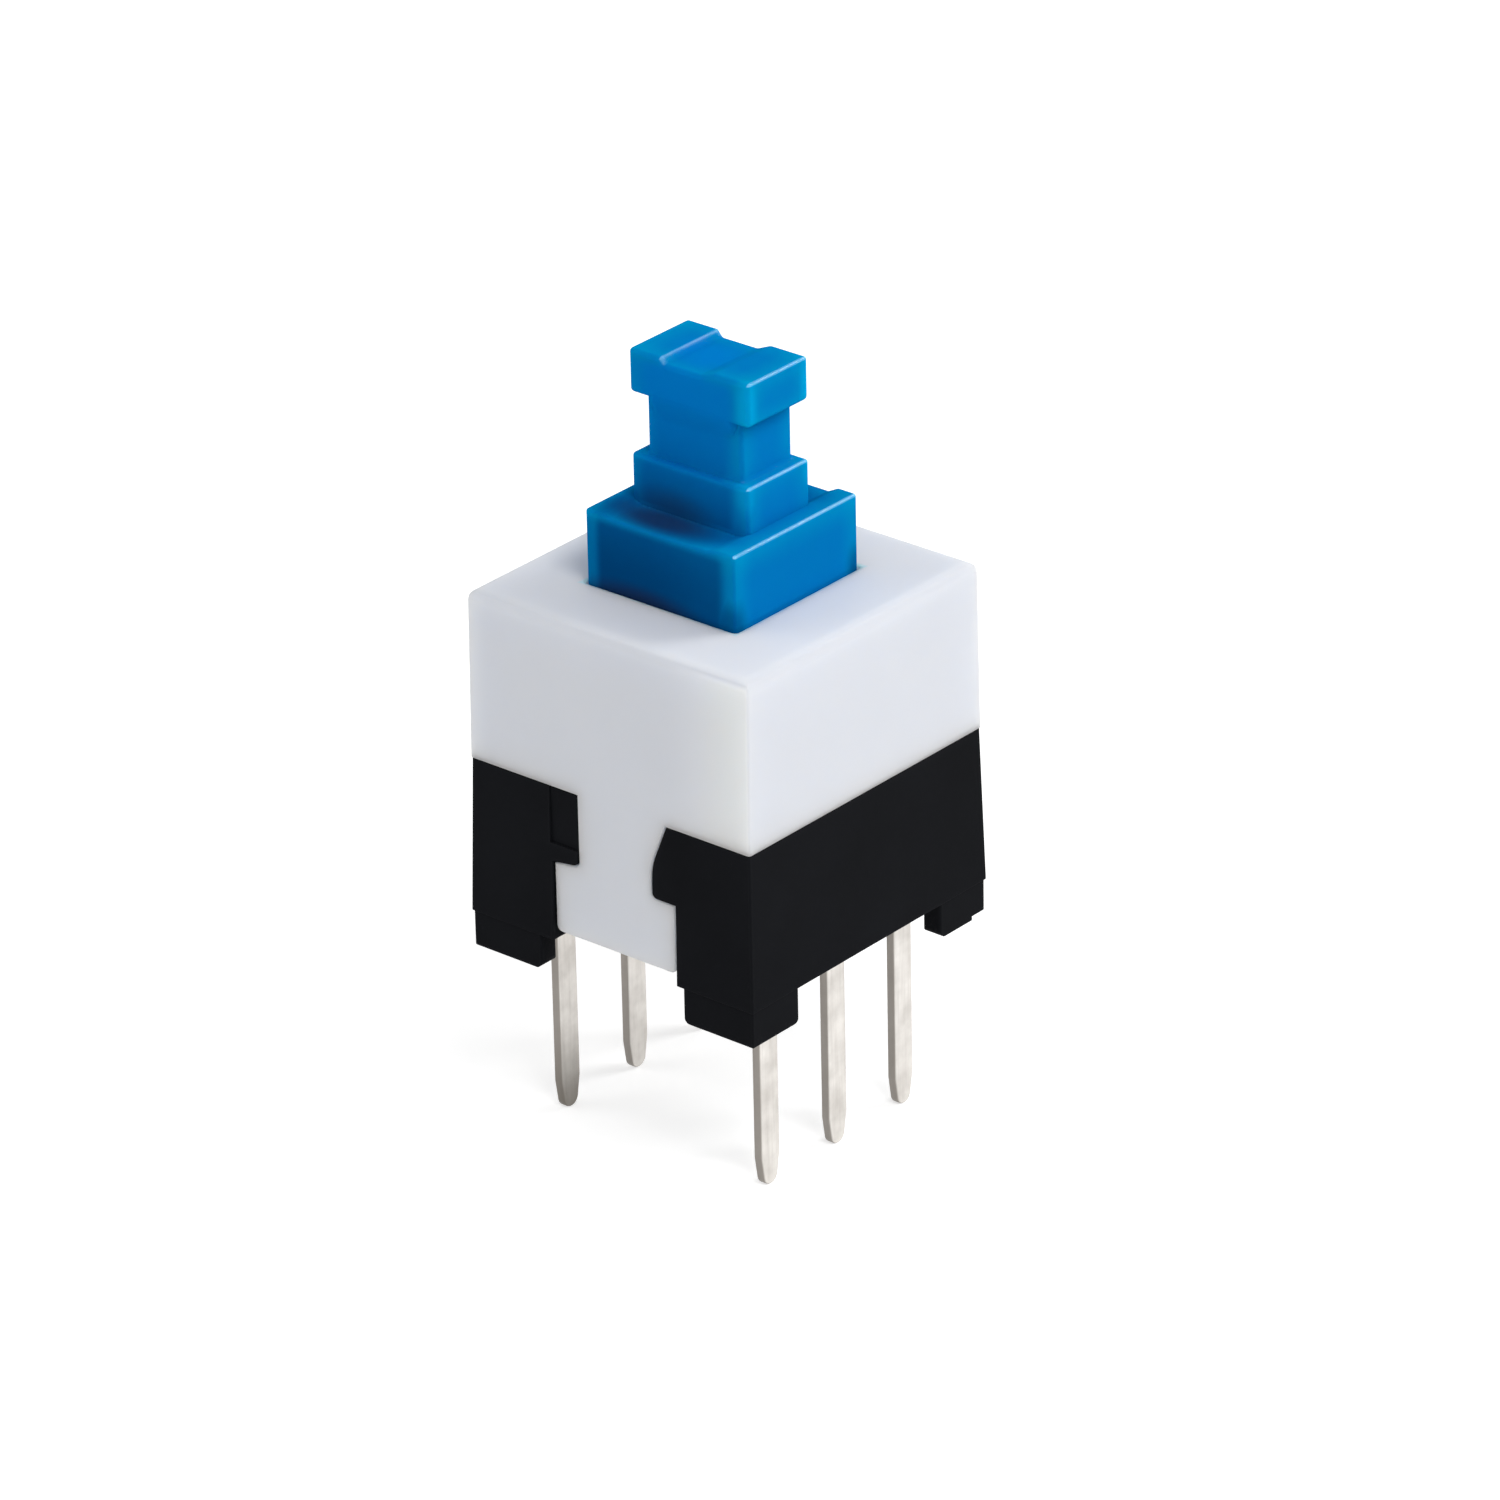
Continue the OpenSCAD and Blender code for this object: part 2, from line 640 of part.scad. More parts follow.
// Blade that reaches from an outer pin towards the middle one
module arm(place, low, high) {
  from = place < 0 ? -pin_pitch - pin_w / 2 : arm_end_y;
  translate([from, low]) square([pin_pitch + pin_w / 2 - arm_end_y, high - low]);
}

module closed_pin(side) pin(side, -1, pin_top) arm(-1, closed_arm_low, pin_top);
module open_pin(side) pin(side, 1, open_arm_top) arm(1, open_arm_low, open_arm_top);
module common_pin(side) pin(side, 0, pin_top);

module pin_left_closed() closed_pin(-1);
module pin_left_common() common_pin(-1);
module pin_left_open() open_pin(-1);
module pin_right_closed() closed_pin(1);
module pin_right_common() common_pin(1);
module pin_right_open() open_pin(1);

base();
cover();
plunger();
return_spring();
latch_pin();
latch_leaf();
contact_left();
contact_right();
pin_left_closed();
pin_left_common();
pin_left_open();
pin_right_closed();
pin_right_common();
pin_right_open();
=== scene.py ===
"""Looks of a self-locking push switch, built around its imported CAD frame.

Shapes are built in millimetres and turned into metres when a form becomes a piece. X runs
across the two rows of pins, Y along them and Z up, and the feet stand at Z = 0.
"""

import logging
import math
from dataclasses import dataclass
from enum import Enum
from functools import cached_property
from typing import Any, Callable, Sequence

import bmesh
import bpy
from mathutils import Matrix, Vector


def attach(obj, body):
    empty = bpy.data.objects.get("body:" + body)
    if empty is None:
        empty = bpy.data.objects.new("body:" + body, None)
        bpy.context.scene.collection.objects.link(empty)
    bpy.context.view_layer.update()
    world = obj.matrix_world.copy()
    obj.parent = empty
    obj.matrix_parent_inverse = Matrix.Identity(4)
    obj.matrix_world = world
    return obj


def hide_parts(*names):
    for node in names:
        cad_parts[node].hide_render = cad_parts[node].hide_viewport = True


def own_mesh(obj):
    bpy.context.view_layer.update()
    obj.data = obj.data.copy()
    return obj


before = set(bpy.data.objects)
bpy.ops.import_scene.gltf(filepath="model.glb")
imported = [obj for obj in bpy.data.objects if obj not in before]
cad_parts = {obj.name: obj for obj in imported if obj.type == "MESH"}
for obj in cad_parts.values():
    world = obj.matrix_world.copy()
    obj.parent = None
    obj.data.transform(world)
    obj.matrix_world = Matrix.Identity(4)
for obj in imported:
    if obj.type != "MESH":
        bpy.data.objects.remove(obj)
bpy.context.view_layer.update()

LOG = logging.getLogger("push_switch")
MM = 0.001
TINY = 1e-5
WELD = 0.0008
SLIVER = 0.0005
FLAT_ANGLE = math.radians(0.4)
SHARP_ANGLE = math.radians(36)
NEARLY = 0.9999

Point = tuple[float, float]
Place = tuple[float, float, float]
Corner = tuple[float, float, float]
Colour = tuple[float, float, float]
Spot = tuple[Place, Place, float]
Dress = tuple[bpy.types.Material, str]


def show(thing: bpy.types.Object) -> bpy.types.Object:
    """Puts an object into the scene."""
    bpy.context.scene.collection.objects.link(thing)
    return thing


def scaled(colour: Colour, factor: float) -> Colour:
    """A colour made darker or lighter by a factor."""
    return tuple(part * factor for part in colour)


def metres(*sizes: float) -> list[float]:
    """Millimetres turned into metres."""
    return [size * MM for size in sizes]


def paint(thing: bpy.types.Object, material: bpy.types.Material) -> None:
    """Gives an object one material."""
    thing.data.materials.clear()
    thing.data.materials.append(material)


def smooth(mesh: bpy.types.Mesh) -> None:
    """Shades a mesh smooth between its sharp edges."""
    mesh.shade_smooth()
    mesh.set_sharp_from_angle(angle=SHARP_ANGLE)


class Axis(Enum):
    """Direction along which an outline is drawn out to a solid."""

    ACROSS = "x"
    ALONG = "y"
    UP = "z"

    def place(self, u: float, v: float, w: float) -> Place:
        """Turns an outline's point and its distance along the axis into X, Y and Z."""
        if self is Axis.ACROSS:
            return (w, u, v)
        if self is Axis.ALONG:
            return (u, w, v)
        return (u, v, w)


@dataclass(frozen=True)
class Outline:
    """Closed section with rounded corners.

    Attributes:
        corners: Place and radius of each corner, in order.
        steps: Number of chords in each rounded corner.
    """

    corners: tuple[Corner, ...]
    steps: int = 6

    def side(self) -> float:
        """1 where the corners run against the clock, and -1 where they run with it."""
        following = self.corners[1:] + self.corners[:1]
        area = sum(a[0] * b[1] - b[0] * a[1] for a, b in zip(self.corners, following))
        return 1.0 if area > 0 else -1.0

    def moved_in(self, distance: float) -> "Outline":
        """The outline with every edge moved inwards, or outwards for a negative distance.

        Args:
            distance: How far the edges move.

        Returns:
            An outline with as many corners, whose radii fit the move.
        """
        side, count = self.side(), len(self.corners)
        made = []
        for i, (u, v, radius) in enumerate(self.corners):
            here = Vector((u, v))
            before = (here - Vector(self.corners[i - 1][:2])).normalized()
            after = (Vector(self.corners[(i + 1) % count][:2]) - here).normalized()
            normal = Vector((-before.y, before.x)) * side
            inward = (normal + Vector((-after.y, after.x)) * side).normalized()
            here += inward * (distance / max(0.1, inward.dot(normal)))
            bulges = (before.x * after.y - before.y * after.x) * side > 0
            if radius > 0:
                radius = max(0.0, radius - distance if bulges else radius + distance)
            made.append((here.x, here.y, radius))
        return Outline(tuple(made), self.steps)

    def shifted(self, u: float, v: float) -> "Outline":
        """The outline moved by a distance in its plane."""
        return Outline(tuple((a + u, b + v, r) for a, b, r in self.corners), self.steps)

    def points(self, inset: float = 0.0) -> list[Point]:
        """Points of the outline once its edges have moved inwards by an inset.

        Args:
            inset: How far the edges move.

        Returns:
            The points, as many for every inset.
        """
        corners = self.moved_in(inset).corners if inset else self.corners
        made: list[Point] = []
        for i, (u, v, radius) in enumerate(corners):
            if self.corners[i][2] <= 0:
                made.append((u, v))
                continue
            if radius <= 0:
                made += [(u, v)] * (self.steps + 1)
                continue
            corner = Vector((u, v))
            to_last = (Vector(corners[i - 1][:2]) - corner).normalized()
            to_next = (Vector(corners[(i + 1) % len(corners)][:2]) - corner).normalized()
            half = to_last.angle(to_next) / 2
            centre = corner + (to_last + to_next).normalized() * (radius / math.sin(half))
            start = corner + to_last * (radius / math.tan(half)) - centre
            end = corner + to_next * (radius / math.tan(half)) - centre
            first = math.atan2(start.y, start.x)
            turn = math.atan2(end.y, end.x) - first
            turn = (turn + math.pi) % (2 * math.pi) - math.pi
            for k in range(self.steps + 1):
                angle = first + turn * k / self.steps
                made.append(
                    (centre.x + radius * math.cos(angle), centre.y + radius * math.sin(angle))
                )
        return made


def rectangle(width: float, length: float, radius: float, steps: int = 6) -> Outline:
    """Outline of a rectangle about the origin, with rounded corners."""
    u, v = width / 2, length / 2
    return Outline(((-u, -v, radius), (u, -v, radius), (u, v, radius), (-u, v, radius)), steps)


def circle(radius: float, steps: int = 10) -> Outline:
    """Outline of a circle about the origin."""
    return rectangle(2 * radius, 2 * radius, radius * NEARLY, steps)


def round_end(radius: float, steps: int) -> list[Point]:
    """Distances from an end and insets of the sections that round it, from the end inwards."""
    if radius <= 0:
        return [(0.0, 0.0)]
    angles = [math.pi / 2 * k / steps for k in range(steps + 1)]
    return [(radius * (1 - math.cos(a)), radius * (1 - math.sin(a))) for a in angles]


class Form:
    """A closed mesh in millimetres that can be joined with others and cut by them."""

    def __init__(self, mesh: bmesh.types.BMesh) -> None:
        """Takes over a mesh."""
        self.mesh = mesh

    @classmethod
    def loft(cls, rings: Sequence[Sequence[Place]]) -> "Form":
        """Joins rings with the same number of points into a closed skin.

        Args:
            rings: Rings of points, from one end to the other.

        Returns:
            The form, with its faces pointing outwards.
        """
        mesh = bmesh.new()
        rows = [[mesh.verts.new(point) for point in ring] for ring in rings]
        count = len(rows[0])
        for low, high in zip(rows, rows[1:]):
            for i in range(count):
                j = (i + 1) % count
                mesh.faces.new((low[i], low[j], high[j], high[i]))
        mesh.faces.new(list(reversed(rows[0])))
        mesh.faces.new(rows[-1])
        bmesh.ops.remove_doubles(mesh, verts=mesh.verts, dist=TINY)
        bmesh.ops.dissolve_degenerate(mesh, edges=mesh.edges, dist=TINY)
        bmesh.ops.recalc_face_normals(mesh, faces=mesh.faces)
        return cls(mesh)

    @classmethod
    def prism(
        cls,
        outline: Outline,
        axis: Axis,
        low: float,
        high: float,
        round_low: float = 0.0,
        round_high: float = 0.0,
        steps: int = 4,
        past: float = 0.0,
    ) -> "Form":
        """Draws an outline out along an axis, with rounded edges at either end.

        Args:
            outline: The section.
            axis: Direction in which it is drawn out.
            low: Where it starts.
            high: Where it ends.
            round_low: Rounding at the start, or a flare if it is negative.
            round_high: Rounding at the end, or a flare if it is negative.
            steps: Number of chords in each rounded edge.
            past: How far a flared end runs on, straight, past its place.

        Returns:
            The form.
        """
        stations = [
            (low + at, math.copysign(inset, round_low))
            for at, inset in round_end(abs(round_low), steps)
        ]
        stations += [
            (high - at, math.copysign(inset, round_high))
            for at, inset in reversed(round_end(abs(round_high), steps))
        ]
        if round_low < 0:
            stations.insert(0, (low - past, round_low))
        if round_high < 0:
            stations.append((high + past, round_high))
        return cls.loft(
            [[axis.place(u, v, at) for u, v in outline.points(inset)] for at, inset in stations]
        )

    @classmethod
    def box(cls, low: Sequence[float], high: Sequence[float]) -> "Form":
        """A block between two corners, used to cut with."""
        middle = [(a + b) / 2 for a, b in zip(low, high)]
        outline = rectangle(high[0] - low[0], high[1] - low[1], 0.0)
        return cls.prism(outline.shifted(middle[0], middle[1]), Axis.UP, low[2], high[2])

    def copy(self) -> "Form":
        """Another form with the same mesh."""
        return Form(self.mesh.copy())

    def changed(self, matrix: Matrix) -> "Form":
        """A copy moved by a matrix, with its faces still pointing outwards."""
        made = self.copy()
        bmesh.ops.transform(made.mesh, matrix=matrix, verts=made.mesh.verts)
        if matrix.determinant() < 0:
            bmesh.ops.reverse_faces(made.mesh, faces=made.mesh.faces)
        return made

    def moved(self, x: float, y: float, z: float) -> "Form":
        """A copy moved by a distance."""
        return self.changed(Matrix.Translation((x, y, z)))

    def half_turned(self) -> "Form":
        """A copy turned by half a turn about the upright axis."""
        return self.changed(Matrix.Rotation(math.pi, 4, "Z"))

    def mirrored(self, x: bool, y: bool) -> "Form":
        """A copy mirrored across the pin rows, along them, or both."""
        return self.changed(Matrix.Diagonal((-1 if x else 1, -1 if y else 1, 1, 1)))

    def leaned(self, rule: "Lean") -> "Form":
        """A copy whose points a lean moves sideways by their height."""
        made = self.copy()
        for vertex in made.mesh.verts:
            vertex.co = rule.apply(vertex.co)
        return made

    def combined(self, operation: str, tools: Sequence["Form"]) -> "Form":
        """Joins other forms to this one or cuts with them, one after another.

        Args:
            operation: UNION or DIFFERENCE.
            tools: The other forms.

        Returns:
            The new form.
        """
        body = self.holder("body")
        for tool in tools:
            cutter = tool.holder("tool")
            modifier = body.modifiers.new("join", "BOOLEAN")
            modifier.operation = operation
            modifier.solver = "EXACT"
            modifier.object = cutter
            graph = bpy.context.evaluated_depsgraph_get()
            mesh = bpy.data.meshes.new_from_object(body.evaluated_get(graph))
            body.modifiers.clear()
            body.data, old = mesh, body.data
            bpy.data.meshes.remove(old)
            bpy.data.meshes.remove(cutter.data)
        made = bmesh.new()
        made.from_mesh(body.data)
        bpy.data.meshes.remove(body.data)
        return Form(made)

    def holder(self, name: str) -> bpy.types.Object:
        """A short-lived object that holds this form while others meet it."""
        data = bpy.data.meshes.new(name)
        self.mesh.to_mesh(data)
        return show(bpy.data.objects.new(name, data))

    def plus(self, *others: "Form") -> "Form":
        """This form with others joined to it."""
        return self.combined("UNION", others)

    def minus(self, *others: "Form") -> "Form":
        """This form with others cut out of it."""
        return self.combined("DIFFERENCE", others)

    def piece(self, name: str) -> bpy.types.Object:
        """Makes the finished object, in metres, with smooth bevels and flat faces.

        Args:
            name: Name of the piece.

        Returns:
            The object, at the origin.
        """
        mesh = self.mesh
        bmesh.ops.remove_doubles(mesh, verts=mesh.verts, dist=WELD)
        bmesh.ops.dissolve_degenerate(mesh, edges=mesh.edges, dist=SLIVER)
        bmesh.ops.dissolve_limit(
            mesh, angle_limit=FLAT_ANGLE, verts=mesh.verts, edges=mesh.edges
        )
        bmesh.ops.scale(mesh, vec=(MM, MM, MM), verts=mesh.verts)
        data = bpy.data.meshes.new(name)
        mesh.to_mesh(data)
        smooth(data)
        thing = show(bpy.data.objects.new(name, data))
        weighted = thing.modifiers.new("flat faces", "WEIGHTED_NORMAL")
        weighted.keep_sharp = True
        weighted.weight = 100
        return thing


@dataclass(frozen=True)
class Lean:
    """Moves points sideways in proportion to their height, so that walls lean.

    Attributes:
        low: Height where the lean starts.
        high: Height where it is full.
        x: Share of X that is lost at the full height.
        y: Share of Y that is lost at the full height.
    """

    low: float
    high: float
    x: float
    y: float

    def apply(self, point: Vector) -> Vector:
        """The place of a point once the walls lean."""
        share = (point.z - self.low) / (self.high - self.low)
        return Vector((point.x * (1 - self.x * share), point.y * (1 - self.y * share), point.z))


class NodeSheet:
    """Adds nodes to a tree and links them."""

    def __init__(self, tree: bpy.types.NodeTree) -> None:
        """Works on one tree."""
        self.tree = tree
        self.column = 0

    def add(self, kind: str, **values: Any) -> bpy.types.Node:
        """Adds a node.

        Args:
            kind: Blender's name of the node's type.
            values: Settings of the node, and for in_NAME the default or link of its input
                NAME, with spaces for underscores.

        Returns:
            The node.
        """
        node = self.tree.nodes.new(kind)
        node.location = (self.column * 180, 0)
        self.column += 1
        inputs = {k[3:]: v for k, v in values.items() if k.startswith("in_")}
        for key, value in values.items():
            if not key.startswith("in_"):
                setattr(node, key, value)
        for key, value in inputs.items():
            socket = node.inputs[int(key)] if key.isdigit() else node.inputs[key.replace("_", " ")]
            if isinstance(value, bpy.types.NodeSocket):
                self.tree.links.new(value, socket)
            else:
                socket.default_value = value
        return node

    def math(self, operation: str, first: Any, second: Any = 0.0, clamp: bool = False) -> Any:
        """Adds a Math node and returns its value."""
        return self.add(
            "ShaderNodeMath", operation=operation, use_clamp=clamp, in_0=first, in_1=second
        ).outputs[0]

    def times(self, first: Any, *others: Any) -> Any:
        """Multiplies masks, from the first on, and returns the product."""
        for other in others:
            first = self.math("MULTIPLY", first, other)
        return first

    def most(self, first: Any, *others: Any) -> Any:
        """Returns the largest of some masks at each place."""
        for other in others:
            first = self.math("MAXIMUM", first, other)
        return first

    def seen(self) -> Any:
        """1 for rays that reach the camera straight, off a gloss or through glass, else 0."""
        paths = self.add("ShaderNodeLightPath").outputs
        seen = self.math("ADD", paths["Is Camera Ray"], paths["Is Glossy Ray"])
        return self.math("ADD", seen, paths["Is Transmission Ray"], clamp=True)

    def mix(self, share: Any, low: Any, high: Any) -> Any:
        """Adds a colour mix and returns its colour."""
        low, high = ((*c, 1.0) if isinstance(c, tuple) else c for c in (low, high))
        node = self.add("ShaderNodeMix", data_type="RGBA", in_0=share, in_6=low, in_7=high)
        return node.outputs[2]

    def step(self, value: Any, low: float, high: float, out: Point = (0.0, 1.0)) -> Any:
        """Adds a smooth step from low to high and returns its value."""
        return self.add(
            "ShaderNodeMapRange",
            interpolation_type="SMOOTHSTEP",
            in_Value=value,
            in_From_Min=low,
            in_From_Max=high,
            in_To_Min=out[0],
            in_To_Max=out[1],
        ).outputs["Result"]

    def noise(self, place: Any, scale: Any, detail: float, roughness: float) -> Any:
        """Adds a noise and returns its value."""
        return self.add(
            "ShaderNodeTexNoise",
            in_Vector=place,
            in_Scale=scale,
            in_Detail=detail,
            in_Roughness=roughness,
        ).outputs["Fac"]

    def parts(self, vector: Any) -> Any:
        """Splits a vector and returns its X, Y and Z."""
        return self.add("ShaderNodeSeparateXYZ", in_0=vector).outputs

    def facing(self) -> Any:
        """X, Y and Z of the direction that the surface faces."""
        return self.parts(self.add("ShaderNodeNewGeometry").outputs["Normal"])

    def group(self, tree: bpy.types.NodeTree, **values: Any) -> Any:
        """Places a shader group, with a value or link for each input; returns its output."""
        given = {f"in_{name}": value for name, value in values.items()}
        return self.add("ShaderNodeGroup", node_tree=tree, **given).outputs[0]


class Effects:
    """Shader groups that more than one finish uses, each built once."""

    @staticmethod
    def start(
        name: str, output: str, **inputs: float | None
    ) -> tuple[NodeSheet, Any, bpy.types.NodeSocket]:
        """Starts a shader group.

        Args:
            name: Name of the group.
            output: Name of its one output, a value.
            inputs: Default of each input that is a value, and None for a place.

        Returns:
            The sheet to add nodes with, the group's inputs, and the socket of its output.
        """
        tree = bpy.data.node_groups.new(name, "ShaderNodeTree")
        for label, default in inputs.items():
            kind = "NodeSocketVector" if default is None else "NodeSocketFloat"
            socket = tree.interface.new_socket(label, in_out="INPUT", socket_type=kind)
            if default is not None:
                socket.default_value = default
        tree.interface.new_socket(output, in_out="OUTPUT", socket_type="NodeSocketFloat")
        sheet = NodeSheet(tree)
        given = sheet.add("NodeGroupInput").outputs
        return sheet, given, sheet.add("NodeGroupOutput").inputs[output]

    @cached_property
    def clouds(self) -> bpy.types.NodeTree:
        """Soft patches, from 0 to 1, that drift over a surface."""
        sheet, given, mask = self.start(
            "soft_clouds", "Mask", Place=None, Scale=500.0, Contrast=1.0
        )
        noise = sheet.noise(given["Place"], given["Scale"], detail=3.0, roughness=0.55)
        strong = sheet.times(sheet.math("SUBTRACT", noise, 0.5), given["Contrast"])
        sheet.tree.links.new(sheet.math("ADD", strong, 0.5, clamp=True), mask)
        return sheet.tree

    @cached_property
    def grain(self) -> bpy.types.NodeTree:
        """Fine height pattern of a moulded or plated surface."""
        sheet, given, height = self.start(
            "fine_grain", "Height", Place=None, Scale=9000.0, Pits=0.3
        )
        fine = sheet.noise(given["Place"], given["Scale"], detail=2.0, roughness=0.6)
        pits = sheet.add(
            "ShaderNodeTexVoronoi",
            in_Vector=given["Place"],
            in_Scale=sheet.times(given["Scale"], 0.4),
        )
        deep = sheet.step(pits.outputs["Distance"], 0.0, 0.35, (-1.0, 0.0))
        both = sheet.math("ADD", fine, sheet.times(deep, given["Pits"]))
        sheet.tree.links.new(both, height)
        return sheet.tree

    @cached_property
    def strokes(self) -> bpy.types.NodeTree:
        """Long fine lines that rolling or drawing leaves along Z."""
        sheet, given, mask = self.start(
            "rolled_strokes", "Mask", Place=None, Scale=6000.0, Stretch=0.04
        )
        parts = sheet.parts(given["Place"])
        height = sheet.times(parts["Z"], given["Stretch"])
        flat = sheet.add("ShaderNodeCombineXYZ", in_X=parts["X"], in_Y=parts["Y"], in_Z=height)
        lines = sheet.noise(flat.outputs[0], given["Scale"], detail=2.0, roughness=0.65)
        sheet.tree.links.new(lines, mask)
        return sheet.tree

    @cached_property
    def edges(self) -> bpy.types.NodeTree:
        """Mask that rises from 0 on a face to 1 along the convex edges of a thick solid."""
        sheet, given, mask = self.start("edge_glow", "Mask", Reach=0.001, Gain=1.0)
        inner = sheet.add(
            "ShaderNodeAmbientOcclusion",
            samples=8,
            inside=True,
            only_local=True,
            in_Distance=given["Reach"],
        )
        near = sheet.math("SUBTRACT", 1.0, inner.outputs["AO"])
        sheet.tree.links.new(sheet.math("MULTIPLY", near, given["Gain"], clamp=True), mask)
        return sheet.tree


EFFECTS = Effects()


@dataclass(frozen=True)
class Finish:
    """What every finish has.

    Attributes:
        name: Name of the material.
        slot: The record's slot that it belongs to.
        colour: Its plain colour.
        roughness: Its plain roughness.
        grain_scale: How fine the surface grain is.
        grain_height: How high the grain is, in metres.
    """

    name: str
    slot: str
    colour: Colour
    roughness: float
    grain_scale: float
    grain_height: float

    def start(self) -> tuple[bpy.types.Material, NodeSheet, bpy.types.Node, Any]:
        """Starts a material with a Principled shader.

        Returns:
            The material, the sheet to add nodes with, the shader and the place on the piece.
        """
        material = bpy.data.materials.new(self.name)
        material.use_nodes = True
        material.node_tree.nodes.clear()
        sheet = NodeSheet(material.node_tree)
        place = sheet.add("ShaderNodeTexCoord").outputs["Object"]
        shader = sheet.add("ShaderNodeBsdfPrincipled")
        output = sheet.add("ShaderNodeOutputMaterial")
        material.node_tree.links.new(shader.outputs["BSDF"], output.inputs["Surface"])
        return material, sheet, shader, place

    def material(self) -> bpy.types.Material:
        """Builds the material, which each finish does in its own way."""
        raise NotImplementedError

    def cloudy(
        self, sheet: NodeSheet, shader: bpy.types.Node, clouds: Any, low: float, high: float
    ) -> None:
        """Makes the roughness run with the clouds, from low to high past its plain value."""
        rough = sheet.add(
            "ShaderNodeMapRange",
            in_Value=clouds,
            in_To_Min=self.roughness + low,
            in_To_Max=self.roughness + high,
        )
        sheet.tree.links.new(rough.outputs["Result"], shader.inputs["Roughness"])

    def grain(self, sheet: NodeSheet, place: Any, pits: float) -> Any:
        """Height of the surface grain, with pits that are shallow or deep."""
        return sheet.group(EFFECTS.grain, Place=place, Scale=self.grain_scale, Pits=pits)

    def bump(self, sheet: NodeSheet, shader: bpy.types.Node, height: Any) -> None:
        """Feeds the height of the grain to the shader's normal."""
        node = sheet.add(
            "ShaderNodeBump", in_Strength=1.0, in_Distance=self.grain_height, in_Height=height
        )
        sheet.tree.links.new(node.outputs["Normal"], shader.inputs["Normal"])


@dataclass(frozen=True)
class BlackPlastic(Finish):
    """Satin black moulded plastic with a faint cloudy sheen and slightly lighter convex edges.

    Attributes:
        lighter_edge: Colour of the convex edges, lighter than the plain colour.
        lighter_edge_share: How much of it the edges take.
        cloud_light: How light the lighter patches are.
    """

    lighter_edge: Colour = (0.022, 0.024, 0.027)
    lighter_edge_share: float = 0.3
    cloud_light: float = 1.6

    def material(self) -> bpy.types.Material:
        """Builds the material."""
        material, sheet, shader, place = self.start()
        clouds = sheet.group(EFFECTS.clouds, Place=place, Scale=420.0, Contrast=1.6)
        grain = self.grain(sheet, place, pits=0.25)
        colour = sheet.mix(clouds, self.colour, scaled(self.colour, self.cloud_light))
        # Lighter along the convex edges.
        edge = sheet.group(EFFECTS.edges, Reach=0.00012, Gain=1.2)
        lighter_edge = sheet.mix(sheet.times(edge, self.lighter_edge_share), colour, self.lighter_edge)
        sheet.tree.links.new(lighter_edge, shader.inputs["Base Color"])
        self.cloudy(sheet, shader, clouds, low=-0.05, high=0.07)
        shader.inputs["IOR"].default_value = 1.07
        self.bump(sheet, shader, grain)
        return material


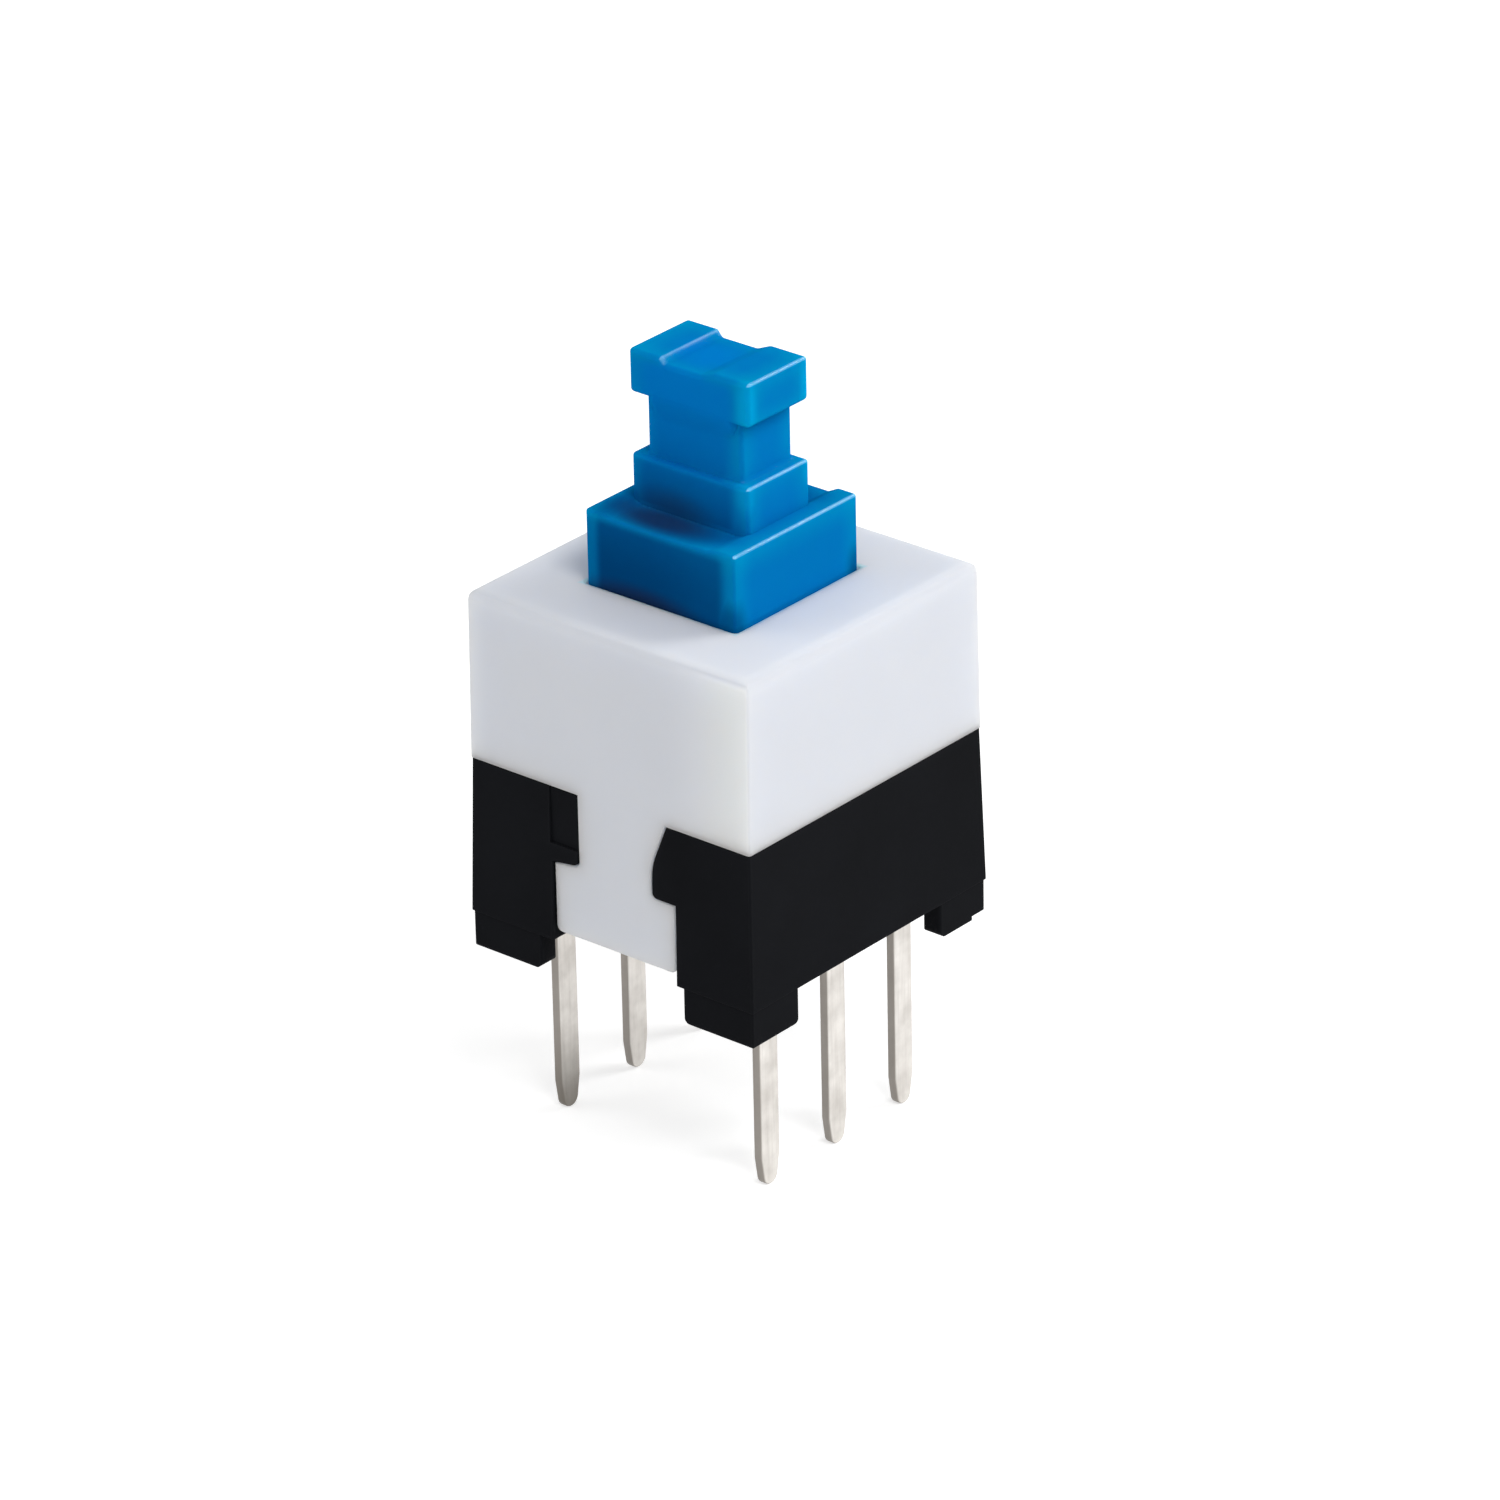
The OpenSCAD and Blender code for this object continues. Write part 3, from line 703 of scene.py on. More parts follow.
@dataclass(frozen=True)
class MilkyPlastic(Finish):
    """Milky plastic that lets light in for about a millimetre, with painted light and painted
    shade on parts of it.

    Attributes:
        depth: How far each colour of light runs inside, as shares.
        tint: Colour of the painted blue bounce at the window's edge, next to the plunger.
        lit: Colour of the painted light at the broad sides' ends.
        corner: Distances from the middle over which the painted light at the right end grows.
        far_corner: The same for the left end.
        window: Distances from the middle over which the painted blue bounce fades.
        window_top: Heights over which the painted blue bounce sets in.
        corner_share: How much of the lit colour the right end takes.
        far_share: How much of it the left end takes.
        tint_share: How much of the painted blue bounce the window's edge takes.
        cloud_dark: How dark the deeper patches are.
        edge_shade_level: How dark the painted shade on the rounded top edges is.
        round_gain: How quickly the painted shade on the rounded edges sets in.
        broad: How squarely a side has to face along the pin rows to get painted light at its ends.
    """

    depth: Colour = (0.95, 1.0, 1.05)
    tint: Colour = (0.50, 0.86, 1.0)
    lit: Colour = (0.905, 0.93, 1.0)
    corner: Point = (1.6, 3.8)
    far_corner: Point = (3.6, 4.25)
    window: Point = (2.31, 2.43)
    window_top: Point = (9.18, 9.26)
    corner_share: float = 0.85
    far_share: float = 0.35
    tint_share: float = 0.9
    cloud_dark: float = 0.955
    edge_shade_level: float = 0.89
    round_gain: float = 2.6
    broad: Point = (0.75, 0.95)

    def painted_edge_shade(self, sheet: NodeSheet) -> Any:
        """Mask of the rounded top edges, which get painted shade."""
        up = sheet.facing()["Z"]
        slant = sheet.math("SUBTRACT", 1.0, sheet.times(up, up))
        mask = sheet.times(slant, sheet.most(up, 0.0))
        return sheet.math("MULTIPLY", mask, self.round_gain, clamp=True)

    def corners(self, sheet: NodeSheet, place: Any) -> Any:
        """Mask of the broad sides' ends, with painted light as if light reached them from round
        the corner.
        """
        broad = sheet.step(sheet.math("ABSOLUTE", sheet.facing()["Y"]), *self.broad)
        x = sheet.parts(place)["X"]
        lit = sheet.step(x, *metres(*self.corner), (0.0, self.corner_share))
        near, end = metres(*self.far_corner)
        dim = sheet.step(x, -end, -near, (self.far_share, 0.0))
        return sheet.times(broad, sheet.most(lit, dim))

    def window_edge(self, sheet: NodeSheet, place: Any) -> Any:
        """Mask of the window's edge, with painted blue light bounced from the plunger."""
        parts = sheet.parts(place)
        far = sheet.most(*(sheet.math("ABSOLUTE", parts[axis]) for axis in "XY"))
        edge = sheet.step(far, *metres(*self.window), (self.tint_share, 0.0))
        return sheet.times(edge, sheet.step(parts["Z"], *metres(*self.window_top)))

    def material(self) -> bpy.types.Material:
        """Builds the material."""
        material, sheet, shader, place = self.start()
        clouds = sheet.group(EFFECTS.clouds, Place=place, Scale=260.0, Contrast=1.2)
        grain = self.grain(sheet, place, pits=0.15)
        colour = sheet.mix(clouds, scaled(self.colour, self.cloud_dark), self.colour)
        # Painted shade on the rounded top edges.
        darker = scaled(self.colour, self.edge_shade_level)
        colour = sheet.mix(self.painted_edge_shade(sheet), colour, darker)
        # Painted light at the broad sides' ends.
        colour = sheet.mix(self.corners(sheet, place), colour, self.lit)
        # Painted blue light bounced from the plunger at the window's edge.
        colour = sheet.mix(self.window_edge(sheet, place), colour, self.tint)
        sheet.tree.links.new(colour, shader.inputs["Base Color"])
        self.cloudy(sheet, shader, clouds, low=0.05, high=-0.05)
        shader.inputs["Subsurface Weight"].default_value = 1.0
        shader.inputs["Subsurface Radius"].default_value = self.depth
        shader.inputs["Subsurface Scale"].default_value = 0.00065
        shader.inputs["IOR"].default_value = 1.15
        self.bump(sheet, shader, grain)
        return material


@dataclass(frozen=True)
class Side:
    """Where one level of the plunger gets painted shade, seen along the pin rows.

    Attributes:
        near: Distance from the middle, along the pin rows, where the painted shade sets in.
        far: Distance where it is full.
        left: Left end, across the pin rows.
        soft: How far the left end fades.
        right: Right end.
        low: Lower end.
        high: Upper end.
    """

    near: float
    far: float
    left: float
    soft: float
    right: float
    low: float
    high: float


@dataclass(frozen=True)
class BluePlastic(Finish):
    """Clear blue plastic over a hollow, with painted shade that darkens its two broad sides.

    Attributes:
        painted_shade_low: Colour of the painted shade on the broad sides at the foot of the block.
        painted_shade_high: Colour of the painted shade on the broad sides at the head.
        rim: Colour of the painted light along the edges.
        painted_highlight: Colour of the painted highlight on the moulded edges that lie along the
            pin rows.
        painted_hollow_shade: Colour of the darkest painted shade, where the hollow comes near.
        levels: Heights between which the painted shade on the broad sides turns lighter.
        trough_low: Height from which the trough's own edge gets the painted highlight.
        plain: Heights between which the neck gets no painted highlight.
        shades: Spots of painted shade on the shelf, the rims, the trough and at the neck's foot.
        painted_hollow_spots: Spots of the darkest painted shade.
        painted_light_spots: Spots of painted light at the corners of the head and the step.
        glow: Colour of that painted light.
        sides: Areas of painted shade on the block, the step, the neck and the head.
        fade: How far an area of painted shade fades at its right and at its upper end.
        left_share: How much painted shade the left ends keep, with the middle at 1.
        right_share: How much painted shade the right ends have just before they fade.
        end_share: How much they have where they end.
        lower: Heights between which the plain colour turns lighter.
        lower_share: How much the lower end takes of the darker colour.
        lower_dark: How dark that colour is.
        cloud_dark: How dark the deeper patches are.
        edge_light_share: How much the edges take of that painted light.
        line_share: How much the highlighted edges take of the painted highlight's colour.
        line_gloss: How glossy they are.
        middle: X from which the areas of painted shade start to weaken towards the right.
        blend: How far a border between two areas is blended.
        plain_blend: The same at the lower end of the neck's plain heights.
        slanted: How much a face has to point both right and up to count as a highlighted edge.
        convex: How near it has to lie to a convex edge.
        spot_fade: Shares of a spot's size between which it fades.
    """

    painted_shade_low: Colour = (0.0004, 0.062, 0.205)
    painted_shade_high: Colour = (0.0006, 0.200, 0.610)
    rim: Colour = (0.0004, 0.32, 0.60)
    painted_highlight: Colour = (0.16, 0.60, 0.98)
    painted_hollow_shade: Colour = (0.012, 0.026, 0.082)
    levels: Point = (9.6, 14.4)
    trough_low: float = 14.5
    plain: Point = (12.33, 13.8)
    shades: tuple[Spot, ...] = (
        ((-0.2, 1.5, 11.2), (2.4, 0.95, 0.8), 1.0),
        ((-0.4, 1.0, 12.35), (1.9, 0.7, 0.45), 0.75),
        ((-1.75, 1.4, 11.25), (0.55, 1.5, 0.4), 0.85),
        ((-0.2, 0.0, 14.8), (1.1, 1.0, 0.4), 1.0),
        ((2.05, 2.2, 9.3), (0.7, 0.5, 0.9), 0.75),
    )
    painted_hollow_spots: tuple[Spot, ...] = (
        ((-0.5, 1.55, 11.2), (1.7, 0.7, 0.75), 0.75),
        ((-0.6, 2.3, 9.2), (2.1, 0.6, 0.5), 0.8),
    )
    painted_light_spots: tuple[Spot, ...] = (
        ((1.75, 1.1, 14.3), (0.45, 0.4, 1.0), 0.75),
        ((1.7, 1.1, 12.1), (0.4, 0.3, 0.6), 0.4),
    )
    glow: Colour = (0.001, 0.40, 0.76)
    sides: tuple[Side, ...] = (
        Side(1.95, 2.22, -2.02, 0.28, 2.08, 8.0, 11.14),
        Side(0.75, 1.1, -1.75, 0.55, 1.5, 11.1, 12.40),
        Side(0.70, 0.9, -1.42, 0.45, 1.2, 12.2, 14.00),
        Side(0.75, 1.08, -1.75, 0.8, 1.5, 13.4, 14.88),
    )
    fade: Point = (0.42, 0.3)
    left_share: float = 0.45
    right_share: float = 0.85
    end_share: float = 0.15
    lower: Point = (10.8, 11.6)
    lower_share: float = 0.5
    lower_dark: float = 0.84
    cloud_dark: float = 0.9
    edge_light_share: float = 0.85
    line_share: float = 0.85
    line_gloss: float = 0.8
    middle: float = -0.5
    blend: float = 0.1
    plain_blend: float = 0.03
    slanted: Point = (0.08, 0.28)
    convex: Point = (0.35, 0.7)
    spot_fade: Point = (0.25, 1.1)

    def material(self) -> bpy.types.Material:
        """Builds the material."""
        material, sheet, shader, place = self.start()
        parts = sheet.parts(place)
        x, y, z = parts["X"], sheet.math("ABSOLUTE", parts["Y"]), parts["Z"]
        folded = sheet.add("ShaderNodeCombineXYZ", in_X=x, in_Y=y, in_Z=z).outputs[0]
        clouds = sheet.group(EFFECTS.clouds, Place=place, Scale=300.0, Contrast=1.4)
        colour = sheet.mix(clouds, scaled(self.colour, self.cloud_dark), self.colour)
        lower = sheet.step(z, *metres(*self.lower), (self.lower_share, 0.0))
        colour = sheet.mix(lower, colour, scaled(self.colour, self.lower_dark))
        # Painted light along the convex edges.
        edge = sheet.group(EFFECTS.edges, Reach=0.0007, Gain=1.5)
        colour = sheet.mix(sheet.times(edge, self.edge_light_share), colour, self.rim)
        # Painted shade on the broad sides, lighter higher up, and in the shade spots.
        height = sheet.step(z, *metres(*self.levels))
        deep = sheet.mix(height, self.painted_shade_low, self.painted_shade_high)
        shade = self.spots(sheet, folded, self.shades)
        painted_shade_share = sheet.most(self.painted_side_shade(sheet, x, y, z), shade)
        colour = sheet.mix(painted_shade_share, colour, deep)
        # Painted shade of the hollow in the darkest spots.
        colour = sheet.mix(self.spots(sheet, folded, self.painted_hollow_spots), colour, self.painted_hollow_shade)
        # Painted light spots at the head's and the step's corners.
        colour = sheet.mix(self.spots(sheet, folded, self.painted_light_spots), colour, self.glow)
        # Painted highlight on the rounded edges along the pin rows; the coat adds real gloss
        # there.
        line = self.painted_highlight_edges(sheet, x, z)
        colour = sheet.mix(sheet.times(line, self.line_share), colour, self.painted_highlight)
        sheet.tree.links.new(colour, shader.inputs["Base Color"])
        grain = self.grain(sheet, place, pits=0.1)
        self.cloudy(sheet, shader, clouds, low=-0.03, high=0.05)
        shader.inputs["Subsurface Weight"].default_value = 0.35
        shader.inputs["Subsurface Radius"].default_value = (0.1, 0.5, 1.0)
        shader.inputs["Subsurface Scale"].default_value = 0.0004
        shader.inputs["Specular IOR Level"].default_value = 0.0
        gloss = sheet.times(line, self.line_gloss)
        sheet.tree.links.new(gloss, shader.inputs["Coat Weight"])
        shader.inputs["Coat Roughness"].default_value = 0.22
        shader.inputs["Coat IOR"].default_value = 1.8
        self.bump(sheet, shader, grain)
        return material

    def painted_highlight_edges(self, sheet: NodeSheet, x: Any, z: Any) -> Any:
        """Mask of the painted highlight on the rounded edges that lie along the pin rows and face
        positive X.

        Args:
            sheet: The material's sheet.
            x: Place across the pin rows.
            z: Height.

        Returns:
            The mask, which leaves out the rim that lies in the shade of the step.
        """
        outer = sheet.step(x, *metres(0.0, self.blend))
        upper = sheet.step(z, *metres(self.trough_low, self.trough_low + self.blend))
        low, high = self.plain
        below = sheet.step(z, *metres(low, low + self.plain_blend), (1.0, 0.0))
        above = sheet.step(z, *metres(high, high + self.blend))
        facing = sheet.facing()
        slanted = sheet.step(sheet.times(facing["X"], facing["Z"]), *self.slanted)
        near = sheet.group(EFFECTS.edges, Reach=0.00012, Gain=4.0)
        convex = sheet.step(near, *self.convex)
        return sheet.times(sheet.most(outer, upper), sheet.most(below, above), slanted, convex)

    def painted_side_shade(self, sheet: NodeSheet, x: Any, y: Any, z: Any) -> Any:
        """Mask of the painted shade on the sides that face along the pin rows.

        Args:
            sheet: The material's sheet.
            x: Place across the pin rows.
            y: Distance from the middle along the pin rows.
            z: Height.

        Returns:
            The mask, from 0 to 1, which fades towards the lit corner and the top edges.
        """
        masks = []
        fade_x, fade_z = self.fade
        fading = (1.0, self.end_share)
        for side in self.sides:
            turn, level = side.right - fade_x, side.high - fade_z
            parts = (
                sheet.step(y, *metres(side.near, side.far)),
                sheet.step(x, *metres(side.left, side.left + side.soft), (self.left_share, 1.0)),
                sheet.step(x, *metres(self.middle, turn), (1.0, self.right_share)),
                sheet.step(x, *metres(turn, side.right), fading),
                sheet.step(z, *metres(side.low, side.low + self.blend)),
                sheet.step(z, *metres(level, side.high), fading),
            )
            masks.append(sheet.times(*parts))
        return sheet.most(*masks)

    def spots(self, sheet: NodeSheet, place: Any, group: Sequence[Spot]) -> Any:
        """Mask of soft spots on each broad side.

        Args:
            sheet: The material's sheet.
            place: Place, the same on both sides.
            group: Centre, size and strength of each spot.

        Returns:
            The mask, from 0 to 1.
        """
        masks = []
        for centre, size, strength in group:
            mapping = sheet.add(
                "ShaderNodeMapping",
                vector_type="TEXTURE",
                in_Vector=place,
                in_Location=metres(*centre),
                in_Scale=metres(*size),
            )
            length = sheet.add(
                "ShaderNodeVectorMath", operation="LENGTH", in_0=mapping.outputs[0]
            )
            away = length.outputs["Value"]
            masks.append(sheet.step(away, *self.spot_fade, (strength, 0.0)))
        return sheet.most(*masks)


@dataclass(frozen=True)
class PlatedMetal(Finish):
    """Silver plated or bare strip, with rolling lines, a mottled sheen and painted shade on its
    cut sides and on one pin's lower end.

    Attributes:
        stain: Colour of the stains.
        stain_share: How much the patches take of it.
        cut_side_shade: Colour of the cut sides, duller than the rolled faces and darkened further
            as painted shade.
        painted_pin_shade: Colour of the painted shade on the lower end of the left row's front
            pin.
        shade_heights: Heights between which the painted shade fades out.
        shade_place: X from which it fades towards the middle, and Y where it ends.
        shade_share: How much of the painted shade the tip takes.
        cut: How squarely a face has to look across the rows to count as rolled, not cut.
        cut_share: How much of that colour the cut sides take.
        streak: Levels of the lines between which they turn into streaks.
        streak_share: How much of the stains' colour a streak takes.
        line_rough: How much the lines add to the roughness.
        line_start: How far below its plain value the roughness starts.
    """

    stain: Colour = (0.42, 0.39, 0.36)
    stain_share: float = 0.5
    cut_side_shade: Colour = (0.20, 0.18, 0.16)
    painted_pin_shade: Colour = (0.15, 0.135, 0.115)
    shade_heights: Point = (-4.9, -2.2)
    shade_place: Point = (-2.5, -1.0)
    shade_share: float = 0.9
    cut: Point = (0.3, 0.98)
    cut_share: float = 0.85
    streak: Point = (0.35, 0.75)
    streak_share: float = 0.22
    line_rough: float = 0.22
    line_start: float = 0.1

    def painted_pin_shade_mask(self, sheet: NodeSheet, place: Any) -> Any:
        """Mask of the painted shade on the lower end of the left row's front pin, which lies in
        the base's shadow.
        """
        parts = sheet.parts(place)
        x_end, y_end = metres(*self.shade_place)
        left = sheet.step(parts["X"], x_end, 0.0, (1.0, 0.0))
        front = sheet.step(parts["Y"], 2 * y_end, y_end, (1.0, 0.0))
        lower = sheet.step(parts["Z"], *metres(*self.shade_heights), (self.shade_share, 0.0))
        return sheet.times(left, front, lower)

    def shaded_cut_sides(self, sheet: NodeSheet) -> Any:
        """Mask of the cut sides and the tip, which are duller than the rolled faces and get
        painted shade.
        """
        across = sheet.math("ABSOLUTE", sheet.facing()["X"])
        return sheet.step(across, *self.cut, (self.cut_share, 0.0))

    def material(self) -> bpy.types.Material:
        """Builds the material."""
        material, sheet, shader, place = self.start()
        clouds = sheet.group(EFFECTS.clouds, Place=place, Scale=1500.0, Contrast=2.6)
        lines = sheet.group(EFFECTS.strokes, Place=place, Scale=9000.0, Stretch=0.05)
        blotch = sheet.times(clouds, self.stain_share)
        colour = sheet.mix(blotch, self.colour, self.stain)
        streak = sheet.step(lines, *self.streak, (0.0, self.streak_share))
        colour = sheet.mix(streak, colour, self.stain)
        # Painted shade on the cut sides and the tip, over their duller finish.
        colour = sheet.mix(self.shaded_cut_sides(sheet), colour, self.cut_side_shade)
        # Painted shade on the lower end of the left row's front pin.
        colour = sheet.mix(self.painted_pin_shade_mask(sheet, place), colour, self.painted_pin_shade)
        sheet.tree.links.new(colour, shader.inputs["Base Color"])
        rough = sheet.math("MULTIPLY_ADD", lines, self.line_rough)
        rough.node.inputs[2].default_value = self.roughness - self.line_start
        sheet.tree.links.new(rough, shader.inputs["Roughness"])
        shader.inputs["Metallic"].default_value = 1.0
        grain = self.grain(sheet, place, pits=0.5)
        self.bump(sheet, shader, sheet.math("ADD", grain, lines))
        return material


class Finishes:
    """The materials of the switch, each built once."""

    def __init__(self) -> None:
        """Builds every material."""
        self.black = self.make(
            BlackPlastic(
                "black plastic", "black_base", (0.0058, 0.0062, 0.0075), 0.46, 14000.0, 2e-6
            )
        )
        self.milky = self.make(
            MilkyPlastic(
                "milky plastic", "milky_cover", (0.80, 0.825, 0.885), 0.55, 9000.0, 1.2e-6
            )
        )
        self.blue = self.make(
            BluePlastic("blue plastic", "blue_plunger", (0.0008, 0.205, 0.57), 0.32, 7000.0, 8e-7)
        )
        self.silver = self.make(
            PlatedMetal("silver plate", "plated_pin", (0.78, 0.75, 0.71), 0.38, 15000.0, 1.5e-6)
        )
        self.wire = self.make(
            PlatedMetal("spring wire", "spring_steel", (0.55, 0.54, 0.52), 0.30, 15000.0, 8e-7)
        )
        self.bronze = self.make(
            PlatedMetal(
                "spring bronze",
                "contact_bronze",
                (0.72, 0.48, 0.24),
                0.32,
                15000.0,
                1e-6,
                stain=(0.40, 0.22, 0.10),
            )
        )

    def make(self, finish: Finish) -> Dress:
        """Builds one finish's material.

        Args:
            finish: The finish.

        Returns:
            The material and the record's slot that it belongs to.
        """
        LOG.info("finish %s for slot %s", finish.name, finish.slot)
        return finish.material(), finish.slot


@dataclass(frozen=True)
class Housing:
    """Sizes that the sub-assemblies share, in millimetres.

    Attributes:
        width: Outer width of the cover, across the pin rows.
        length: Outer length of the cover, along the rows.
        split: Height where the cover stands on the base.
        top: Height of the cover's top.
        ceiling: Height of the cover's inner face.
        wall: Thickness of the tongues.
        foot: Height of the feet.
        floor: Height of the base's inner face.
        room_x: Half of the room inside, across the rows.
        room_y: Half of the room inside the cover, along the rows.
        post_y: Half of the room between the base's corner posts, along the rows.
        row: Distance from the middle to each row.
        pitch: Distance between the pins of a row.
        pin_width: Width of a pin, along the rows.
        pin_thickness: Its thickness, across the rows.
        gap: Clearance between two pieces.
        past: How far a cutting form runs past the face that it cuts.
        hook_low: Height of the hooks' lower ends.
        hook_near: Distance from the middle to the straight hook.
        hook_far: Distance from the middle to the upright part of the leaning hook.
        hook_lean: How far that hook leans above this part, in degrees.
        hook_upright: Height of this part.
        hook_knee: Radius of the bend between the two.
        hook_rise: How much higher the straight hook's lower end lies.
        hook_round: Radius of the hooks' lower corners.
        post_near: Distance from the middle to the post under the straight hook.
        post_far: Distance from the middle to the post under the leaning hook.
    """

    width: float = 8.5
    length: float = 8.54
    split: float = 4.95
    top: float = 9.28
    ceiling: float = 8.38
    wall: float = 0.72
    foot: float = 0.92
    floor: float = 1.75
    room_x: float = 3.265
    room_y: float = 3.55
    post_y: float = 3.49
    row: float = 3.1
    pitch: float = 2.5
    pin_width: float = 0.66
    pin_thickness: float = 0.27
    gap: float = 0.03
    past: float = 0.5
    hook_low: float = 2.98
    hook_near: float = 0.98
    hook_far: float = 1.27
    hook_lean: float = 22.0
    hook_upright: float = 0.5
    hook_knee: float = 1.6
    hook_rise: float = 0.1
    hook_round: float = 0.14
    post_near: float = 1.73
    post_far: float = 1.97

    def clasp(self, low: float, high: float, low_round: float = 0.0) -> Outline:
        """Outline of the gap between the hooks and posts, seen from the tongue's side.

        Args:
            low: Height of its lower end.
            high: Height of its upper end.
            low_round: Radius of its lower corners.

        Returns:
            The outline in X and Z.
        """
        slope = math.tan(math.radians(self.hook_lean))
        knee = self.hook_low + self.hook_upright
        knee += self.hook_knee * math.tan(math.radians(self.hook_lean / 2))
        return Outline(
            (
                (-self.post_near, self.hook_low, 0.0),
                (-self.post_near, low, low_round),
                (self.post_far, low, low_round),
                (self.post_far, self.hook_low, 0.0),
                (self.hook_far, self.hook_low, self.hook_round),
                (self.hook_far, knee, self.hook_knee),
                (self.hook_far + (high - knee) * slope, high, 0.0),
                (-self.hook_near, high, 0.0),
                (-self.hook_near, self.hook_low + self.hook_rise, self.hook_round),
            )
        )


class SubAssembly:
    """What every sub-assembly does with a finished piece."""

    def fit(self, thing: bpy.types.Object, finish: Dress, body: str, node: str) -> None:
        """Gives a piece its material, puts it on its body and lets it stand for a CAD node.

        Args:
            thing: The piece.
            finish: Its material and slot.
            body: The CAD body that it rides on.
            node: The CAD node that it replaces.
        """
        material, slot = finish
        paint(thing, material)
        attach(thing, body)
        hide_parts(node)
        LOG.info("piece %s: %d faces on body %s", thing.name, len(thing.data.polygons), body)

    def dress(self, node: str, finish: Dress) -> None:
        """Gives a CAD node that stays as it is its material."""
        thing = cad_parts[node]
        paint(thing, finish[0])
        smooth(thing.data)
        LOG.info("node %s dressed", node)


@dataclass
class Base(SubAssembly):
    """Black tray with hooked corner posts and four corner feet.

    Attributes:
        housing: The shared sizes.
        inset: How far the walls lie inside the cover's, at the split.
        flare_x: How much the walls grow towards their lower edge, across the rows.
        flare_y: The same along the rows.
        corner_r: Radius of the upright corners.
        edge_r: Rounding of the lower edges and of the clasps' outer edges.
        top_r: Rounding of the upper edge.
        foot_inset: How far the feet's outer faces lie inside the walls' lower edge.
        foot_x: Length of a foot's arm across the rows.
        foot_y: Length of its arm along the rows.
        foot_wall: Width of both arms.
        foot_r: Rounding of the arms' ends at the board.
        foot_corner_r: Radius of the arms' upright corners.
        foot_bite: How far a foot runs up into the tray.
        nick_start: X where the nick in one foot starts.
        nick_end: How far the form that cuts it reaches, in X and Y.
        nick_length: Length of the nick, along the rows.
        nick_height: Height of the nick.
        relief_depth: Depth of the relief beside the straight hook.
        relief_width: Width of the relief.
        relief_height: How far it reaches down from the split.
        clasp_bite: How far the clasp's form runs into the room inside.
        slot_bite: How far the slots in the floor are cut past its upper face.
        peg_r: Radius of the spring's peg.
        peg_height: Height of the peg.
        peg_edge_r: Rounding of the peg's top.
        peg_bite: How far the peg runs down into the floor.
        pivot_z: Height of the latch pin's pivot.
        pivot_r: Radius of the pivot's hole.
        latch_y: Distance from the middle to the hole's open end.
        pivot_end_y: Distance from the middle to the end of the latch pin's leg.
        seat: Half of the width of the latch's slot in the floor.
        seat_drop: How far that slot reaches below the pivot.
    """

    housing: Housing
    inset: float = 0.03
    flare_x: float = 0.096
    flare_y: float = 0.105
    corner_r: float = 0.045
    edge_r: float = 0.03
    top_r: float = 0.02
    foot_inset: float = 0.04
    foot_x: float = 2.1
    foot_y: float = 1.68
    foot_wall: float = 0.53
    foot_r: float = 0.22
    foot_corner_r: float = 0.06
    foot_bite: float = 0.1
    nick_start: float = 2.0
    nick_end: float = 5.0
    nick_length: float = 0.45
    nick_height: float = 0.12
    relief_depth: float = 0.03
    relief_width: float = 0.85
    relief_height: float = 1.5
    clasp_bite: float = 0.02
    slot_bite: float = 0.01
    peg_r: float = 0.8
    peg_height: float = 1.1
    peg_edge_r: float = 0.08
    peg_bite: float = 0.2
    pivot_z: float = 1.418
    pivot_r: float = 0.23
    latch_y: float = 2.73
    pivot_end_y: float = 1.7
    seat: float = 0.5
    seat_drop: float = 0.26

    def lean(self) -> Lean:
        """How the walls grow towards their lower edge."""
        h = self.housing
        top_x, top_y = h.width / 2 - self.inset, h.length / 2 - self.inset
        return Lean(
            h.split, 2 * h.split - h.foot, self.flare_x / top_x, self.flare_y / top_y
        )

    def block(self) -> Form:
        """Outer block of the base."""
        h = self.housing
        outline = rectangle(h.width - 2 * self.inset, h.length - 2 * self.inset, self.corner_r)
        made = Form.prism(outline, Axis.UP, h.foot, h.split, self.edge_r, self.top_r, steps=3)
        return made.leaned(self.lean())

    def foot(self) -> Form:
        """The corner foot at positive X and Y."""
        h = self.housing
        x = h.width / 2 - self.inset + self.flare_x - self.foot_inset
        y = h.length / 2 - self.inset + self.flare_y - self.foot_inset
        wall, soft = self.foot_wall, self.foot_corner_r
        plan = Outline(
            (
                (x - self.foot_x, y, soft),
                (x - self.foot_x, y - wall, soft),
                (x - wall, y - wall, soft),
                (x - wall, y - self.foot_y, soft),
                (x, y - self.foot_y, soft),
                (x, y, self.corner_r),
            ),
            4,
        )
        top = h.foot + self.foot_bite
        made = Form.prism(plan, Axis.UP, 0.0, top, round_low=self.edge_r, steps=3)
        return made.minus(
            self.corner_cut(x - self.foot_x, Axis.ALONG, y - 2 * wall, y + h.past),
            self.corner_cut(y - self.foot_y, Axis.ACROSS, x - 2 * wall, x + h.past),
        )

    def corner_cut(self, end: float, axis: Axis, low: float, high: float) -> Form:
        """What rounding takes off the lower corner of a foot's inner end."""
        r = self.foot_r
        left, right = end - r, end + r
        outline = Outline(
            ((left, r, 0), (left, -r, 0), (right, -r, 0), (right, 0, 0), (end, 0, r), (end, r, 0))
        )
        return Form.prism(outline, axis, low, high)

